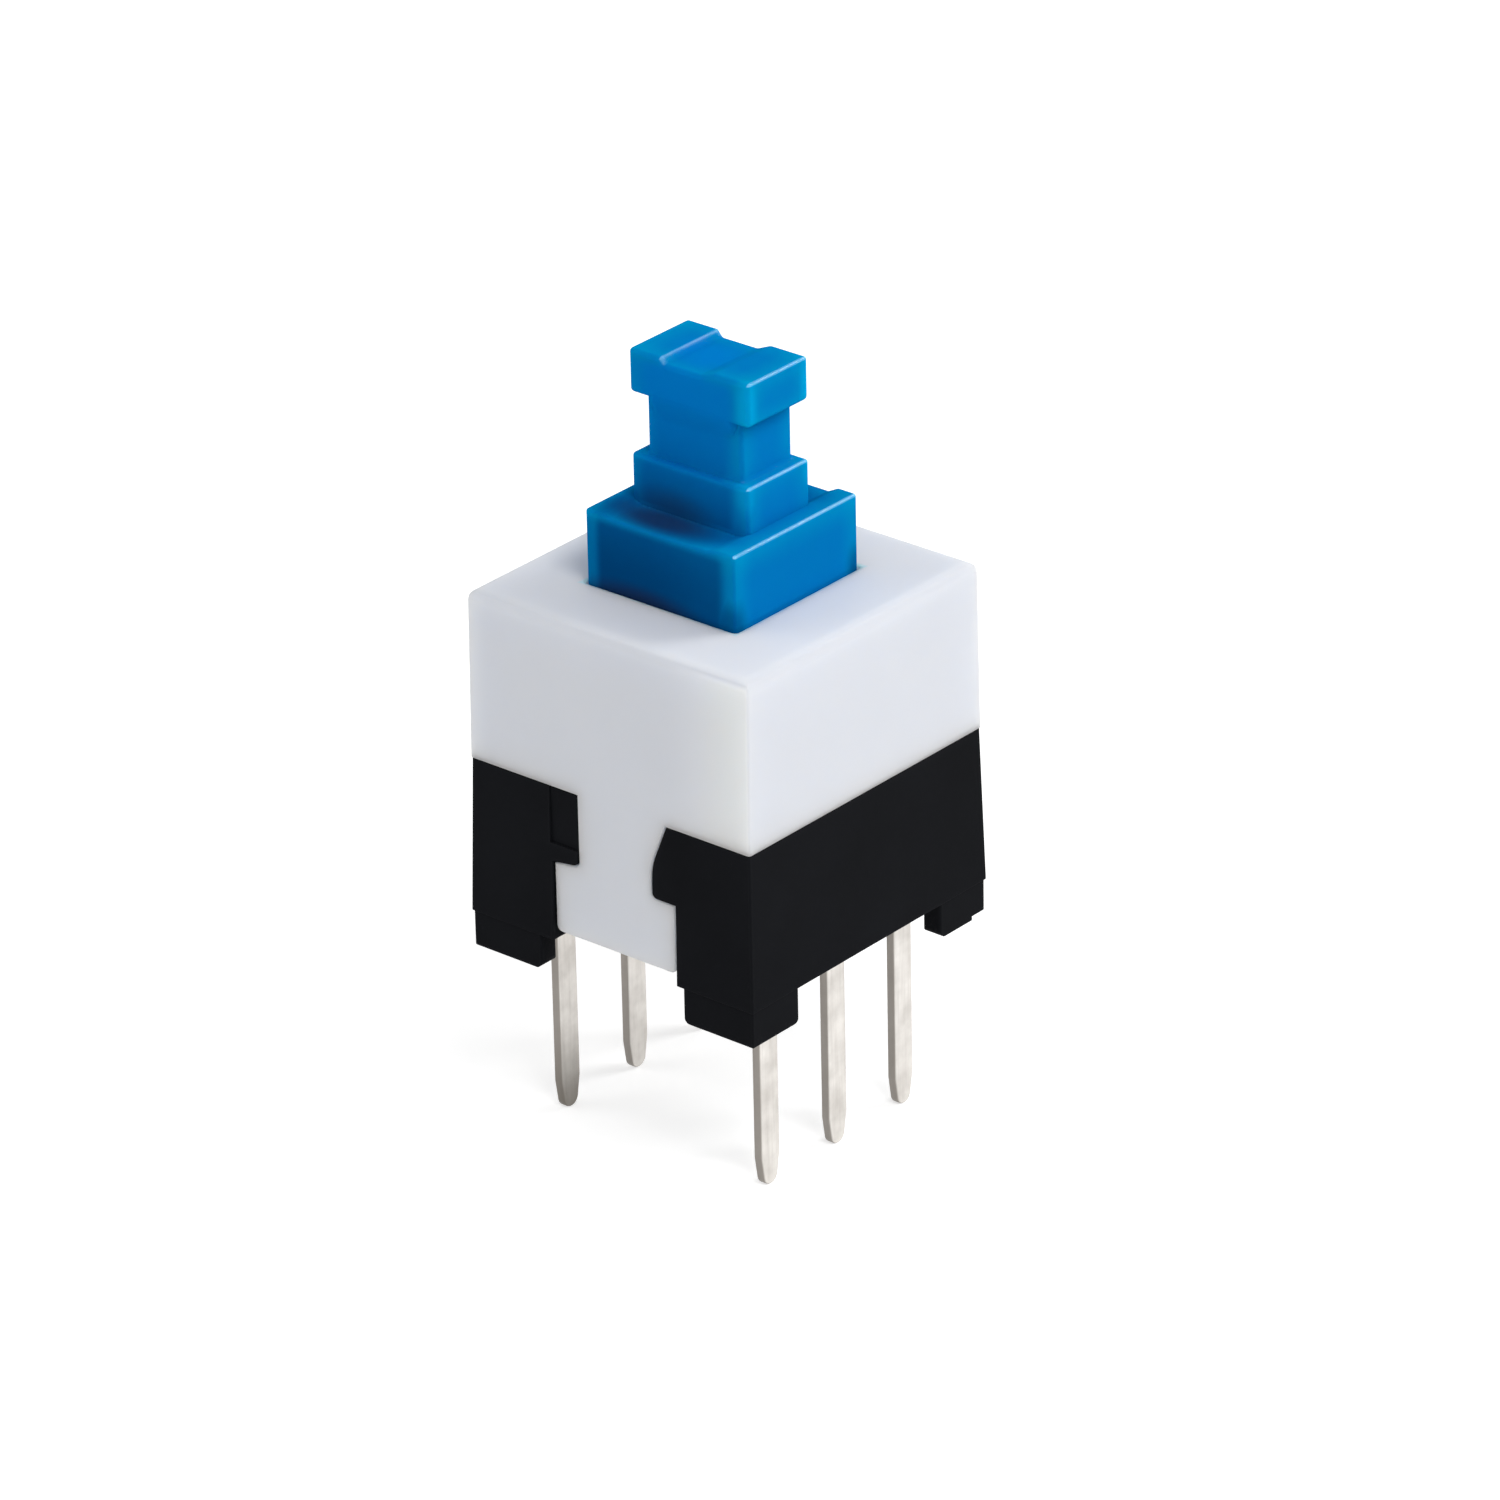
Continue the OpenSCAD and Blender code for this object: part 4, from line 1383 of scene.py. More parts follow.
    def hollows(self) -> list[Form]:
        """What is cut out of the base: room, clasps, reliefs, pin slots and latch seat."""
        h = self.housing
        low = (-h.room_x, -h.post_y, h.floor)
        cuts = [Form.box(low, (h.room_x, h.post_y, h.split + h.past))]
        face = h.length / 2 - self.inset
        clasp = Form.prism(
            h.clasp(h.foot - h.past, h.split + h.past),
            Axis.ALONG,
            -face,
            -h.post_y + self.clasp_bite,
            round_low=-self.edge_r,
            steps=3,
            past=h.past,
        ).leaned(self.lean())
        relief = Form.box(
            (-h.hook_near - self.relief_width, -face - h.past, h.split - self.relief_height),
            (-h.hook_near + h.past, -face + self.relief_depth, h.split + h.past),
        )
        for part in (clasp, relief):
            cuts += [part, part.half_turned()]
        slot_x = h.pin_thickness / 2 + h.gap
        slot_y = h.pin_width / 2 + h.gap
        for i in (-1, 1):
            for j in (-1, 0, 1):
                x, y = i * h.row, j * h.pitch
                cuts.append(
                    Form.box(
                        (x - slot_x, y - slot_y, h.foot - h.past),
                        (x + slot_x, y + slot_y, h.floor + self.slot_bite),
                    )
                )
        return cuts

    def latch_seat(self) -> list[Form]:
        """Slot and blind hole in the floor for the lower end of the latch pin."""
        h, half = self.housing, self.seat
        slot = Form.box(
            (-half, -h.post_y - h.past, self.pivot_z - self.seat_drop),
            (half, -self.latch_y + half, h.floor + self.slot_bite),
        )
        hole = Form.prism(
            circle(self.pivot_r), Axis.ALONG, -self.latch_y, -self.pivot_end_y + h.gap
        ).moved(0, 0, self.pivot_z)
        return [slot, hole]

    def build(self, finish: Dress) -> None:
        """Builds the base and dresses it."""
        h = self.housing
        made = self.block().minus(*self.hollows(), *self.latch_seat())
        low, high = h.floor - self.peg_bite, h.floor + self.peg_height
        peg = Form.prism(circle(self.peg_r), Axis.UP, low, high, round_high=self.peg_edge_r)
        foot = self.foot()
        nick = Form.box(
            (self.nick_start, h.length / 2 - self.nick_length, -h.past),
            (self.nick_end, self.nick_end, self.nick_height),
        )
        feet = [foot.mirrored(x, y) for x in (False, True) for y in (False, True)]
        feet[0] = feet[0].minus(nick)
        made = made.plus(peg, *feet)
        self.fit(made.piece("black_base_tray"), finish, "housing", "base")


@dataclass
class Cover(SubAssembly):
    """Milky cap with a square window and two tongues that clip under the hooks.

    Attributes:
        housing: The shared sizes.
        lean_x: How far a wall's top lies inside its foot, across the rows.
        lean_y: The same along the rows.
        edge_r: Rounding of the top edge.
        side_r: Radius of the upright corners.
        window_x: Width of the window, across the rows.
        window_y: Its length, along the rows.
        window_r: Rounding of its upper edge.
        window_corner_r: Radius of its corners.
        tongue_low: Height of the tongues' lower ends.
        tongue_r: Radius of their lower corners.
        tongue_edge: Rounding of their outer edges.
        tongue_bite: How far a tongue runs up into the cap.
    """

    housing: Housing
    lean_x: float = 0.015
    lean_y: float = 0.07
    edge_r: float = 0.3
    side_r: float = 0.08
    window_x: float = 4.6
    window_y: float = 4.58
    window_r: float = 0.05
    window_corner_r: float = 0.1
    tongue_low: float = 1.18
    tongue_r: float = 0.16
    tongue_edge: float = 0.035
    tongue_bite: float = 0.1

    def shell(self) -> Form:
        """Outer shell, with walls that lean in and a rounded top."""
        h = self.housing
        outline = rectangle(h.width, h.length, self.side_r, steps=7)
        made = Form.prism(
            outline, Axis.UP, h.split, h.top, round_high=self.edge_r, steps=7
        )
        return made.leaned(
            Lean(h.split, h.top, 2 * self.lean_x / h.width, 2 * self.lean_y / h.length)
        )

    def tongue(self) -> Form:
        """The tongue on the side of negative Y."""
        h, gap = self.housing, self.housing.gap
        high = h.split + self.tongue_bite
        outline = h.clasp(self.tongue_low - gap, high, self.tongue_r + gap).moved_in(gap)
        face = -h.length / 2
        return Form.prism(
            outline, Axis.ALONG, face, face + h.wall, round_low=self.tongue_edge, steps=3
        )

    def build(self, finish: Dress) -> None:
        """Builds the cover and dresses it."""
        h = self.housing
        room = Form.box(
            (-h.room_x, -h.room_y, h.split - h.past), (h.room_x, h.room_y, h.ceiling)
        )
        window = Form.prism(
            rectangle(self.window_x, self.window_y, self.window_corner_r),
            Axis.UP,
            h.ceiling - h.past,
            h.top,
            round_high=-self.window_r,
            past=h.past,
        )
        made = self.shell().minus(room, window)
        tongue = self.tongue()
        made = made.plus(tongue, tongue.half_turned())
        self.fit(made.piece("milky_cap"), finish, "housing", "cover")


@dataclass
class Plunger(SubAssembly):
    """Blue slider: a block with raised rims, a step, a neck and a T-shaped head.

    Unless described below, names that end in x are widths across the pin rows, those in y
    are lengths along them, those in z are heights above the board and those in r are radii.

    Attributes:
        housing: The shared sizes.
        low: Height of the block's foot.
        rim: Width of the two rims on the block.
        shelf: Depth of the shelf between them, at the back.
        shelf_front: Its depth at the front.
        slope: Width of the slope between a rim and the shelf.
        neck_round: How far the neck flares out towards the step.
        neck_bite: How far the neck runs down into the step.
        neck_past: How far it runs up into the head.
        trough: X of the trough's left edge, both ends of its floor and its right edge.
        trough_r: Radii at these four places.
        trough_depth: Depth of the trough at the back.
        trough_front: Its depth at the front.
        edge_r: Rounding of the block's ends and of the upper edges along the pin rows.
        side_r: Rounding at the shelf, and of the step's, the neck's and the head's sides.
        soft_r: Rounding of the head's lower edges.
        web_high: Height of the web between the neck's broad sides and the head's.
        web_narrow: How much narrower its lower end is.
        web_sunk: How much thinner than the neck its lower end is.
        web_end: Height, length and radius of its hidden end inside the head.
        skin: A hair's breadth that keeps two faces from falling on each other.
        ear_x: Distance from the middle to an ear, which stops under the cover.
        ear_t: Thickness of an ear.
        ear_reach: How far it stands out of the block.
        ear_bite: How far it runs into the block.
        stud_y: Distance from the middle to a contact's stud.
        stud_start: Distance from the middle to its hidden end.
        stud_end: Distance from the middle to its outer end.
        groove_depth: Depth of the cam groove.
        groove_width: Its width.
        groove_low: Height where its two lanes meet.
        groove_high: Height where they end.
        groove_reach: Distance from the middle to each lane's upper end.
        notch_half: Half of the width of the notch in the heart's top.
        notch_bite: How far the notch's form runs up into the bridge.
        notch_depth: How far the notch reaches down into the heart.
    """

    housing: Housing
    block_x: float = 4.48
    block_y: float = 4.46
    low: float = 4.35
    low_r: float = 0.05
    block_z: float = 11.16
    rim: float = 0.52
    shelf: float = 0.15
    shelf_front: float = 0.08
    slope: float = 0.3
    step_x: float = 3.5
    step_y: float = 2.25
    step_z: float = 12.31
    neck_x: float = 2.85
    neck_y: float = 1.82
    neck_z: float = 13.81
    neck_round: float = 0.14
    neck_bite: float = 0.02
    neck_past: float = 0.3
    head_x: float = 3.58
    head_y: float = 2.18
    head_z: float = 14.91
    trough: tuple[float, float, float, float] = (-0.86, -0.72, 0.34, 0.74)
    trough_r: tuple[float, float, float, float] = (0.06, 0.12, 0.3, 0.2)
    trough_depth: float = 0.17
    trough_front: float = 0.14
    edge_r: float = 0.08
    side_r: float = 0.13
    soft_r: float = 0.12
    web_x: float = 2.72
    web_high: float = 0.72
    web_r: float = 0.3
    web_narrow: float = 0.1
    web_sunk: float = 0.004
    web_end: Corner = (0.3, 1.8, 0.2)
    pocket_r: float = 1.25
    pocket_z: float = 7.63
    ear_x: float = 1.4
    ear_z: float = 8.33
    ear_t: float = 0.5
    ear_reach: float = 0.61
    ear_bite: float = 0.2
    stud_y: float = 0.9
    stud_z: float = 6.85
    stud_r: float = 0.18
    stud_end: float = 2.36
    stud_start: float = 2.0
    stud_edge_r: float = 0.04
    skin: float = 0.001
    groove_depth: float = 0.45
    groove_width: float = 0.5
    groove_low: float = 4.9
    groove_high: float = 7.281
    groove_reach: float = 0.901
    heart_z: float = 6.95
    notch_half: float = 0.4
    notch_bite: float = 0.1
    notch_depth: float = 0.53
    notch_r: float = 0.08

    def along(self, half: float, soft: float, outline: Callable[[float], Outline]) -> Form:
        """Draws an outline that changes from front to back, with rounded ends.

        Args:
            half: Half of the length along the pin rows.
            soft: Rounding of the ends.
            outline: Gives the outline for a share of 0 at the front to 1 at the back.

        Returns:
            The form.
        """
        rings = []
        end = round_end(soft, 6)
        for share, ends in ((0.0, end), (1.0, end[::-1])):
            for at, inset in ends:
                place = -half + at if share == 0.0 else half - at
                points = outline(share).points(inset)
                rings.append([Axis.ALONG.place(u, v, place) for u, v in points])
        return Form.loft(rings)

    def block(self) -> Form:
        """The square block, with a shelf between two rims."""
        x, top = self.block_x / 2, self.block_z
        inner = x - self.rim

        def outline(share: float) -> Outline:
            """The block's section, with the shelf's depth for its place."""
            deep = top - self.shelf_front - (self.shelf - self.shelf_front) * share
            return Outline(
                (
                    (-x, self.low, self.low_r),
                    (x, self.low, self.low_r),
                    (x, top, self.edge_r),
                    (inner, top, self.side_r),
                    (inner - self.slope, deep, self.side_r),
                    (-inner + self.slope, deep, self.side_r),
                    (-inner, top, self.side_r),
                    (-x, top, self.edge_r),
                )
            )

        return self.along(self.block_y / 2, self.edge_r, outline)

    def step(self) -> Form:
        """The step on the block."""
        x, low = self.step_x / 2, self.block_z - 2 * self.shelf
        outline = Outline(
            (
                (-x, low, 0.0),
                (x, low, 0.0),
                (x, self.step_z, self.edge_r),
                (-x, self.step_z, self.edge_r),
            )
        )
        return self.along(self.step_y / 2, self.side_r, lambda share: outline)

    def neck(self) -> Form:
        """The neck, which flares out towards the step."""
        r, steps = self.neck_round, 8
        sections = []
        for k in range(steps + 1):
            angle = math.pi / 2 * k / steps
            out = r * (1 - math.sin(angle))
            level = self.step_z - self.neck_bite + r * (1 - math.cos(angle))
            sections.append((level, out))
        sections.append((self.neck_z + self.neck_past, 0.0))
        rings = []
        for z, out in sections:
            outline = rectangle(self.neck_x + 2 * out, self.neck_y + out, self.side_r)
            rings.append([(u, v, z) for u, v in outline.points()])
        return Form.loft(rings)

    def web(self) -> Form:
        """The soft web that carries the neck's two broad sides out to the head's."""
        out = (self.head_y - self.neck_y) / 2 + self.skin
        steps, z = 10, self.neck_z + self.soft_r
        rings = []
        for k in range(steps + 1):
            share = k / steps
            grown = out * share * share * (3 - 2 * share)
            outline = rectangle(
                self.web_x - self.web_narrow * (1 - share),
                self.neck_y + 2 * grown - self.web_sunk,
                self.web_r,
            )
            level = z - self.web_high * (1 - share)
            rings.append([(u, v, level) for u, v in outline.points()])
        rise, width, radius = self.web_end
        end = rectangle(self.web_x, width, radius)
        rings.append([(u, v, z + rise) for u, v in end.points()])
        return Form.loft(rings)

    def head(self) -> Form:
        """The head, with a trough along the pin rows."""
        x, top = self.head_x / 2, self.head_z
        left, left_floor, right_floor, right = self.trough
        left_r, left_floor_r, right_floor_r, right_r = self.trough_r

        def outline(share: float) -> Outline:
            """The head's section, with the trough's depth for its place."""
            deep = top - self.trough_front - (self.trough_depth - self.trough_front) * share
            return Outline(
                (
                    (-x, self.neck_z, self.soft_r),
                    (x, self.neck_z, self.soft_r),
                    (x, top, self.edge_r),
                    (right, top, right_r),
                    (right_floor, deep, right_floor_r),
                    (left_floor, deep, left_floor_r),
                    (left, top, left_r),
                    (-x, top, self.edge_r),
                )
            )

        return self.along(self.head_y / 2, self.side_r, outline)

    def fittings(self) -> list[Form]:
        """Ears under the cover's top and studs for the moving contacts."""
        y = self.block_y / 2
        ear = Form.box(
            (self.ear_x, y - self.ear_bite, self.ear_z - self.ear_t),
            (self.block_x / 2 - self.skin, y + self.ear_reach, self.ear_z),
        )
        stud = Form.prism(
            circle(self.stud_r, steps=6),
            Axis.ACROSS,
            self.stud_start,
            self.stud_end,
            round_high=self.stud_edge_r,
        ).moved(0, self.stud_y, self.stud_z)
        sides = (False, True)
        return [part.mirrored(i, j) for part in (ear, stud) for i in sides for j in sides]

    def cam_groove(self) -> list[Form]:
        """The two leaning lanes around the heart, cut from the side of negative Y."""
        wide, reach = self.groove_width, self.groove_reach
        foot, top, heart = self.groove_low, self.groove_high, self.heart_z
        lean = math.atan2(reach, top - foot)
        lane = math.hypot(reach, top - foot)
        outlines = []
        for side in (-1, 1):
            corners = []
            for u, v in ((-1, -wide), (1, -wide), (1, 2 * lane + wide), (-1, 2 * lane + wide)):
                along, across = v / 2, side * u * wide / 2
                corners.append(
                    (
                        across * math.cos(lean) + side * along * math.sin(lean),
                        foot + along * math.cos(lean) - side * across * math.sin(lean),
                        wide / 2 * 0.999,
                    )
                )
            outlines.append(Outline(tuple(corners)))
        height = top + wide / 2 - heart
        outlines.append(rectangle(2 * reach, height, 0.0).shifted(0, heart + height / 2))
        half, upper = self.notch_half, heart + self.notch_bite
        tip = (0.0, heart - self.notch_depth, self.notch_r)
        outlines.append(Outline(((-half, upper, 0), tip, (half, upper, 0))))
        face = -self.block_y / 2
        low, high = face - self.housing.past, face + self.groove_depth
        return [Form.prism(outline, Axis.ALONG, low, high) for outline in outlines]

    def build(self, finish: Dress) -> None:
        """Builds the plunger and dresses it."""
        low = self.low - self.housing.past
        pocket = Form.prism(circle(self.pocket_r), Axis.UP, low, self.pocket_z)
        made = self.block().minus(pocket, *self.cam_groove())
        made = made.plus(self.step(), self.neck(), self.web(), self.head(), *self.fittings())
        self.fit(made.piece("blue_plunger_post"), finish, "plunger", "plunger")


@dataclass
class Pins(SubAssembly):
    """Six flat pins in two rows, each with its blade inside the housing.

    Attributes:
        housing: The shared sizes.
        length: How far the pins reach below the board's face.
        top: Height of the blades' upper ends.
        edge_r: Rounding of the edges along a pin.
        tip_width: Width of the tip.
        tip_taper: Height over which a pin narrows to it, above half the tip's width.
        tip_r: Radius of the tip's corners.
        taper_r: Radius where the taper sets in.
        corner_r: Radius of the blades' corners.
        arm_end: Distance from the middle to the end of an arm.
        closed_low: Height of the lower edge of the closed pin's arm.
        open_low: Height of the lower edge of the open pin's arm.
        open_top: Height of its upper edge.
    """

    housing: Housing
    length: float = 4.699
    top: float = 6.2
    edge_r: float = 0.06
    tip_width: float = 0.42
    tip_taper: float = 0.55
    tip_r: float = 0.24
    taper_r: float = 0.5
    corner_r: float = 0.06
    arm_end: float = 0.9
    closed_low: float = 4.9
    open_low: float = 2.5
    open_top: float = 4.3

    def outline(self, place: int) -> Outline:
        """Outline of one pin in Y and Z.

        Args:
            place: -1 for the normally closed pin, 0 for the common one, 1 for the open one.

        Returns:
            The outline.
        """
        h = self.housing
        half = h.pin_width / 2
        low, top = -self.length, self.open_top if place == 1 else self.top
        middle = place * h.pitch
        tip, soft = self.tip_width / 2, self.corner_r
        wide = low + tip + self.tip_taper
        corners = [
            (middle - half, wide, self.taper_r),
            (middle - tip, low, self.tip_r),
            (middle + tip, low, self.tip_r),
            (middle + half, wide, self.taper_r),
        ]
        if place == 0:
            corners += [(middle + half, top, soft), (middle - half, top, soft)]
        elif place < 0:
            corners += [
                (middle + half, self.closed_low, soft),
                (-self.arm_end, self.closed_low, soft),
                (-self.arm_end, top, soft),
                (middle - half, top, soft),
            ]
        else:
            corners += [
                (middle + half, top, soft),
                (self.arm_end, top, soft),
                (self.arm_end, self.open_low, soft),
                (middle - half, self.open_low, soft),
            ]
        return Outline(tuple(corners), steps=8)

    def build(self, finish: Dress) -> None:
        """Builds the six pins and dresses them."""
        h = self.housing
        for side, row in ((-1, "left"), (1, "right")):
            for place, role in ((-1, "closed"), (0, "common"), (1, "open")):
                middle, half = side * h.row, h.pin_thickness / 2
                made = Form.prism(
                    self.outline(place),
                    Axis.ACROSS,
                    middle - half,
                    middle + half,
                    self.edge_r,
                    self.edge_r,
                )
                thing = made.piece(f"silver_pin_{row}_{role}")
                self.fit(thing, finish, "housing", f"pin_{row}_{role}")


@dataclass
class ReturnSpring(SubAssembly):
    """Coil spring under the plunger, drawn along its helix by geometry nodes.

    Attributes:
        radius: Radius of the coil, to the middle of the wire.
        wire: Radius of the wire.
        turns: Number of turns, of which the first and the last are closed.
        low: Height of the wire's middle at the lower end.
        high: The same at the upper end.
        steps_per_turn: Number of chords in each turn.
        closed_pitch: Pitch of the closed turns, in radii of the wire.
        travel: How much shorter the pressed spring is; not used.
    """

    radius: float = 0.975
    wire: float = 0.125
    turns: float = 8.0
    low: float = 1.885
    high: float = 7.495
    steps_per_turn: int = 40
    closed_pitch: float = 2.02
    travel: float = 2.5

    def tree(self, material: bpy.types.Material) -> bpy.types.NodeTree:
        """Builds the tree that draws a coil with a closed turn at each end.

        Args:
            material: Material of the wire.

        Returns:
            The geometry node tree, with a named input for each size.
        """
        tree = bpy.data.node_groups.new("coil_spring", "GeometryNodeTree")
        for label, default in (
            ("Coil Radius", self.radius * MM),
            ("Wire Radius", self.wire * MM),
            ("Turns", self.turns),
            ("Low", self.low * MM),
            ("High", self.high * MM),
        ):
            socket = tree.interface.new_socket(
                label, in_out="INPUT", socket_type="NodeSocketFloat"
            )
            socket.default_value = default
        tree.interface.new_socket("Geometry", in_out="OUTPUT", socket_type="NodeSocketGeometry")
        sheet = NodeSheet(tree)
        given, result = sheet.add("NodeGroupInput"), sheet.add("NodeGroupOutput")
        count = int(self.turns * self.steps_per_turn) + 1
        line = sheet.add("GeometryNodeCurvePrimitiveLine", in_End=(0.0, 0.0, 1.0))
        fine = sheet.add("GeometryNodeResampleCurve", in_Curve=line.outputs[0], in_Count=count)
        along = sheet.add("GeometryNodeSplineParameter").outputs["Factor"]
        turn = sheet.times(along, given.outputs["Turns"])
        angle = sheet.times(turn, 2 * math.pi)
        rest = sheet.math("SUBTRACT", given.outputs["Turns"], turn)
        pitch = sheet.times(given.outputs["Wire Radius"], self.closed_pitch)
        first = sheet.times(sheet.math("MINIMUM", turn, 1.0), pitch)
        last = sheet.times(sheet.math("MINIMUM", rest, 1.0), pitch)
        span = sheet.math("SUBTRACT", given.outputs["High"], given.outputs["Low"])
        free = sheet.math("SUBTRACT", span, sheet.times(pitch, 2.0))
        inner = sheet.math("SUBTRACT", given.outputs["Turns"], 2.0)
        share = sheet.math("DIVIDE", sheet.math("SUBTRACT", turn, 1.0), inner, clamp=True)
        rise = sheet.math("ADD", first, sheet.times(share, free))
        rise = sheet.math("ADD", rise, sheet.math("SUBTRACT", pitch, last))
        z = sheet.math("ADD", given.outputs["Low"], rise)
        place = sheet.add(
            "ShaderNodeCombineXYZ",
            in_X=sheet.times(sheet.math("COSINE", angle), given.outputs["Coil Radius"]),
            in_Y=sheet.times(sheet.math("SINE", angle), given.outputs["Coil Radius"]),
            in_Z=z,
        )
        coil = sheet.add(
            "GeometryNodeSetPosition", in_Geometry=fine.outputs[0], in_Position=place.outputs[0]
        )
        section = sheet.add(
            "GeometryNodeCurvePrimitiveCircle",
            in_Resolution=14,
            in_Radius=given.outputs["Wire Radius"],
        )
        tube = sheet.add(
            "GeometryNodeCurveToMesh",
            in_Curve=coil.outputs[0],
            in_Profile_Curve=section.outputs[0],
            in_Fill_Caps=True,
        )
        smooth = sheet.add("GeometryNodeSetShadeSmooth", in_0=tube.outputs[0])
        real = sheet.add("GeometryNodeRealizeInstances", in_0=smooth.outputs[0])
        dressed = sheet.add("GeometryNodeSetMaterial", in_0=real.outputs[0])
        dressed.inputs["Material"].default_value = material
        tree.links.new(dressed.outputs[0], result.inputs[0])
        return tree

    def build(self, finish: Dress) -> None:
        """Builds the spring and dresses it."""
        thing = show(bpy.data.objects.new("coil_return_spring", bpy.data.meshes.new("coil")))
        modifier = thing.modifiers.new("coil", "NODES")
        modifier.node_group = self.tree(finish[0])
        for item in modifier.node_group.interface.items_tree:
            if item.in_out == "INPUT":
                modifier[item.identifier] = item.default_value
        graph = bpy.context.evaluated_depsgraph_get()
        mesh = bpy.data.meshes.new_from_object(thing.evaluated_get(graph))
        thing.modifiers.clear()
        thing.data = mesh
        self.fit(thing, finish, "housing", "return_spring")
        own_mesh(thing)


@dataclass
class Latch(SubAssembly):
    """Wire pin and bowed leaf that hold the plunger down."""

    def build(self, wire: Dress, leaf: Dress) -> None:
        """Dresses the latch's nodes."""
        self.dress("latch_pin", wire)
        self.dress("latch_leaf", leaf)


@dataclass
class Contacts(SubAssembly):
    """The two moving contacts on the plunger."""

    def build(self, finish: Dress) -> None:
        """Dresses the contacts' nodes."""
        for node in ("contact_left", "contact_right"):
            self.dress(node, finish)


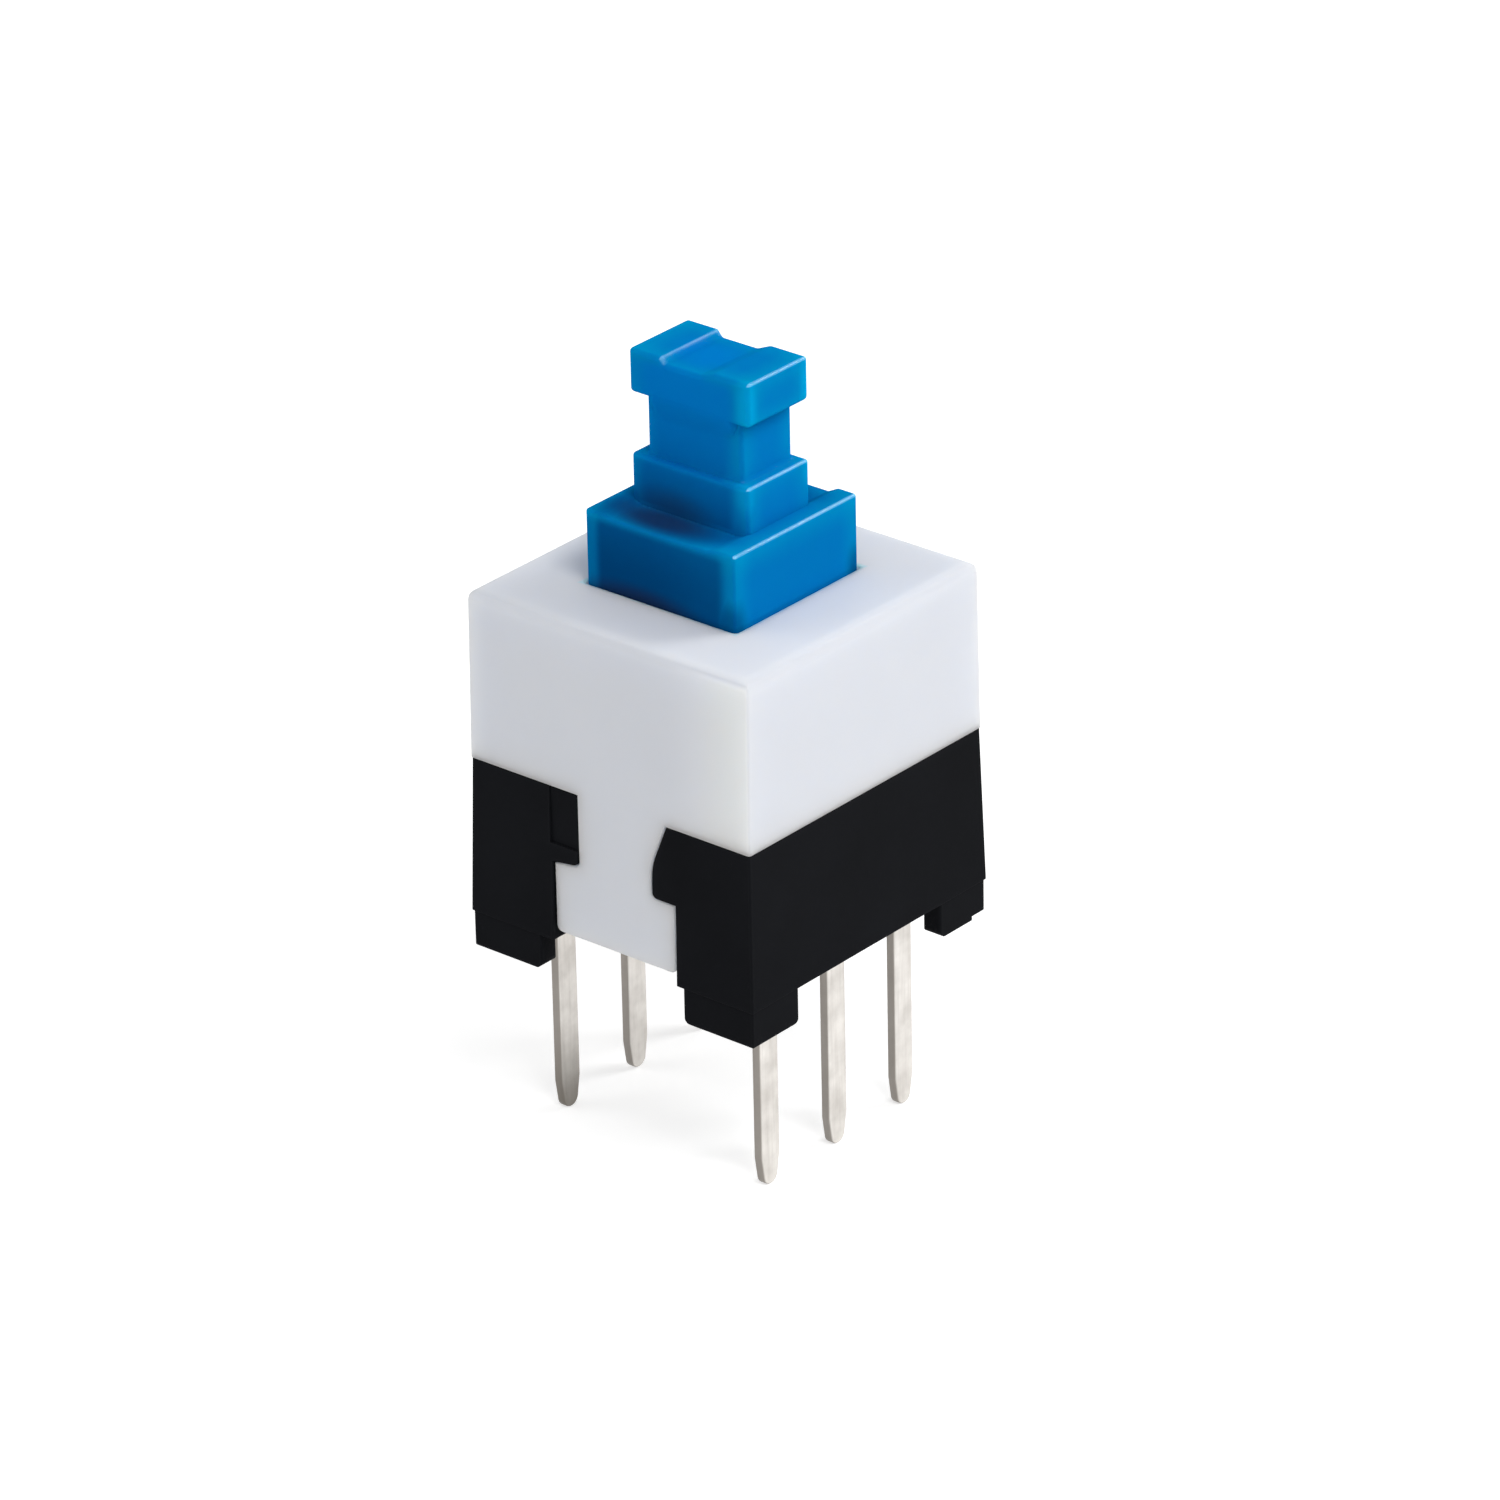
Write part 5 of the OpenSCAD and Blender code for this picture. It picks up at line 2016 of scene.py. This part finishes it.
@dataclass
class Studio:
    """Floor, lamps, world and the camera at the photograph's angle.

    Attributes:
        floor_z: Height of the floor.
        azimuth: Where the camera stands, in degrees round Z from negative Y.
        elevation: How high it looks down from, in degrees.
        roll: How it leans, in degrees.
        distance: How far it stands from its aim.
        pixels_per_mm: Scale of the photo at the aim.
        aim: Where it looks.
        shift: How far the photo's middle lies from the aim, to the side and upwards.
        image: Width of the photo in pixels.
        floor_glow: Light that the floor gives off towards the camera.
        ambient: Light of the world on the switch.
        lamps: Name, place, width and level of each lamp.
    """

    floor_z: float = -4.7
    azimuth: float = 40.249
    elevation: float = 26.229
    roll: float = -1.178
    distance: float = 195.0
    pixels_per_mm: float = 42.62
    aim: Place = (0.0, 0.0, 4.7)
    shift: Point = (-0.5474, -0.0254)
    image: float = 1500.0
    floor_glow: float = 0.55
    ambient: float = 0.38
    lamps: tuple[tuple[str, Place, float, float], ...] = (
        ("key", (245.0, -95.0, 285.0), 180.0, 0.395),
        ("back", (150.0, 240.0, 200.0), 130.0, 0.38),
        ("fill", (-260.0, -200.0, 160.0), 240.0, 0.205),
    )

    def camera(self) -> None:
        """Places the camera."""
        azimuth, elevation = math.radians(self.azimuth), math.radians(self.elevation)
        back = Vector(
            (
                math.sin(azimuth) * math.cos(elevation),
                -math.cos(azimuth) * math.cos(elevation),
                math.sin(elevation),
            )
        )
        right = Vector((math.cos(azimuth), math.sin(azimuth), 0.0))
        up = back.cross(right)
        roll = math.radians(self.roll)
        side = math.cos(roll) * right + math.sin(roll) * up
        top = math.cos(roll) * up - math.sin(roll) * right
        place = Vector(self.aim) + back * self.distance
        place -= side * self.shift[0] + top * self.shift[1]
        data = bpy.data.cameras.new("camera")
        data.sensor_width = 36.0
        data.lens = data.sensor_width * self.pixels_per_mm * self.distance / self.image
        data.clip_start, data.clip_end = 0.01, 10.0
        thing = show(bpy.data.objects.new("camera", data))
        turn = Matrix((side, top, back)).transposed().to_4x4()
        thing.matrix_world = Matrix.Translation(place * MM) @ turn
        bpy.context.scene.camera = thing

    def lamp(self, name: str, place: Place, size: float, level: float) -> None:
        """Adds a soft square lamp that looks at the switch.

        Args:
            name: Name of the lamp.
            place: Its place in millimetres.
            size: Its width in millimetres.
            level: Light that it casts on a white face that looks at it.
        """
        data = bpy.data.lights.new(name, "AREA")
        data.size = size * MM
        away = Vector(place) - Vector(self.aim)
        data.energy = level * math.pi * (away.length * MM) ** 2 * math.pi
        turn = away.to_track_quat("Z", "Y").to_matrix().to_4x4()
        thing = show(bpy.data.objects.new(name, data))
        thing.matrix_world = Matrix.Translation(Vector(place) * MM) @ turn

    def floor(self) -> None:
        """Adds the pale floor, which stays white to the camera apart from the shadow."""
        mesh = bmesh.new()
        bmesh.ops.create_grid(mesh, x_segments=2, y_segments=2, size=3.0)
        bmesh.ops.translate(mesh, vec=(0, 0, self.floor_z * MM), verts=mesh.verts)
        data = bpy.data.meshes.new("floor")
        mesh.to_mesh(data)
        thing = show(bpy.data.objects.new("floor", data))
        material = bpy.data.materials.new("pale floor")
        material.use_nodes = True
        material.node_tree.nodes.clear()
        sheet = NodeSheet(material.node_tree)
        seen = sheet.seen()
        matt = sheet.add("ShaderNodeBsdfDiffuse", in_Color=(0.8, 0.8, 0.8, 1.0))
        glow = sheet.add("ShaderNodeEmission", in_Strength=sheet.times(seen, self.floor_glow))
        both = sheet.add("ShaderNodeAddShader", in_0=matt.outputs[0], in_1=glow.outputs[0])
        sheet.add("ShaderNodeOutputMaterial", in_Surface=both.outputs[0])
        data.materials.append(material)

    def world(self) -> None:
        """Lights the scene softly from all round, and shows white behind the switch."""
        scene = bpy.context.scene
        world = bpy.data.worlds.new("studio")
        world.use_nodes = True
        world.node_tree.nodes.clear()
        sheet = NodeSheet(world.node_tree)
        level = sheet.add(
            "ShaderNodeMapRange", in_Value=sheet.seen(), in_To_Min=self.ambient, in_To_Max=1.0
        )
        white = sheet.add(
            "ShaderNodeBackground",
            in_Color=(1.0, 1.0, 1.0, 1.0),
            in_Strength=level.outputs["Result"],
        )
        sheet.add("ShaderNodeOutputWorld", in_Surface=white.outputs[0])
        scene.world = world
        scene.view_settings.view_transform = "Standard"

    def build(self) -> None:
        """Builds the whole studio."""
        self.camera()
        self.floor()
        self.world()
        for name, place, size, level in self.lamps:
            self.lamp(name, place, size, level)
        LOG.info("studio with %d lamps", len(self.lamps))


def main() -> None:
    """Builds the studio and every sub-assembly in order."""
    logging.basicConfig(level=logging.INFO, format="%(name)s: %(message)s")
    housing = Housing()
    finishes = Finishes()
    Studio().build()
    Base(housing).build(finishes.black)
    Cover(housing).build(finishes.milky)
    Plunger(housing).build(finishes.blue)
    Pins(housing).build(finishes.silver)
    ReturnSpring().build(finishes.wire)
    Latch().build(finishes.wire, finishes.bronze)
    Contacts().build(finishes.bronze)


if __name__ == "__main__":
    main()
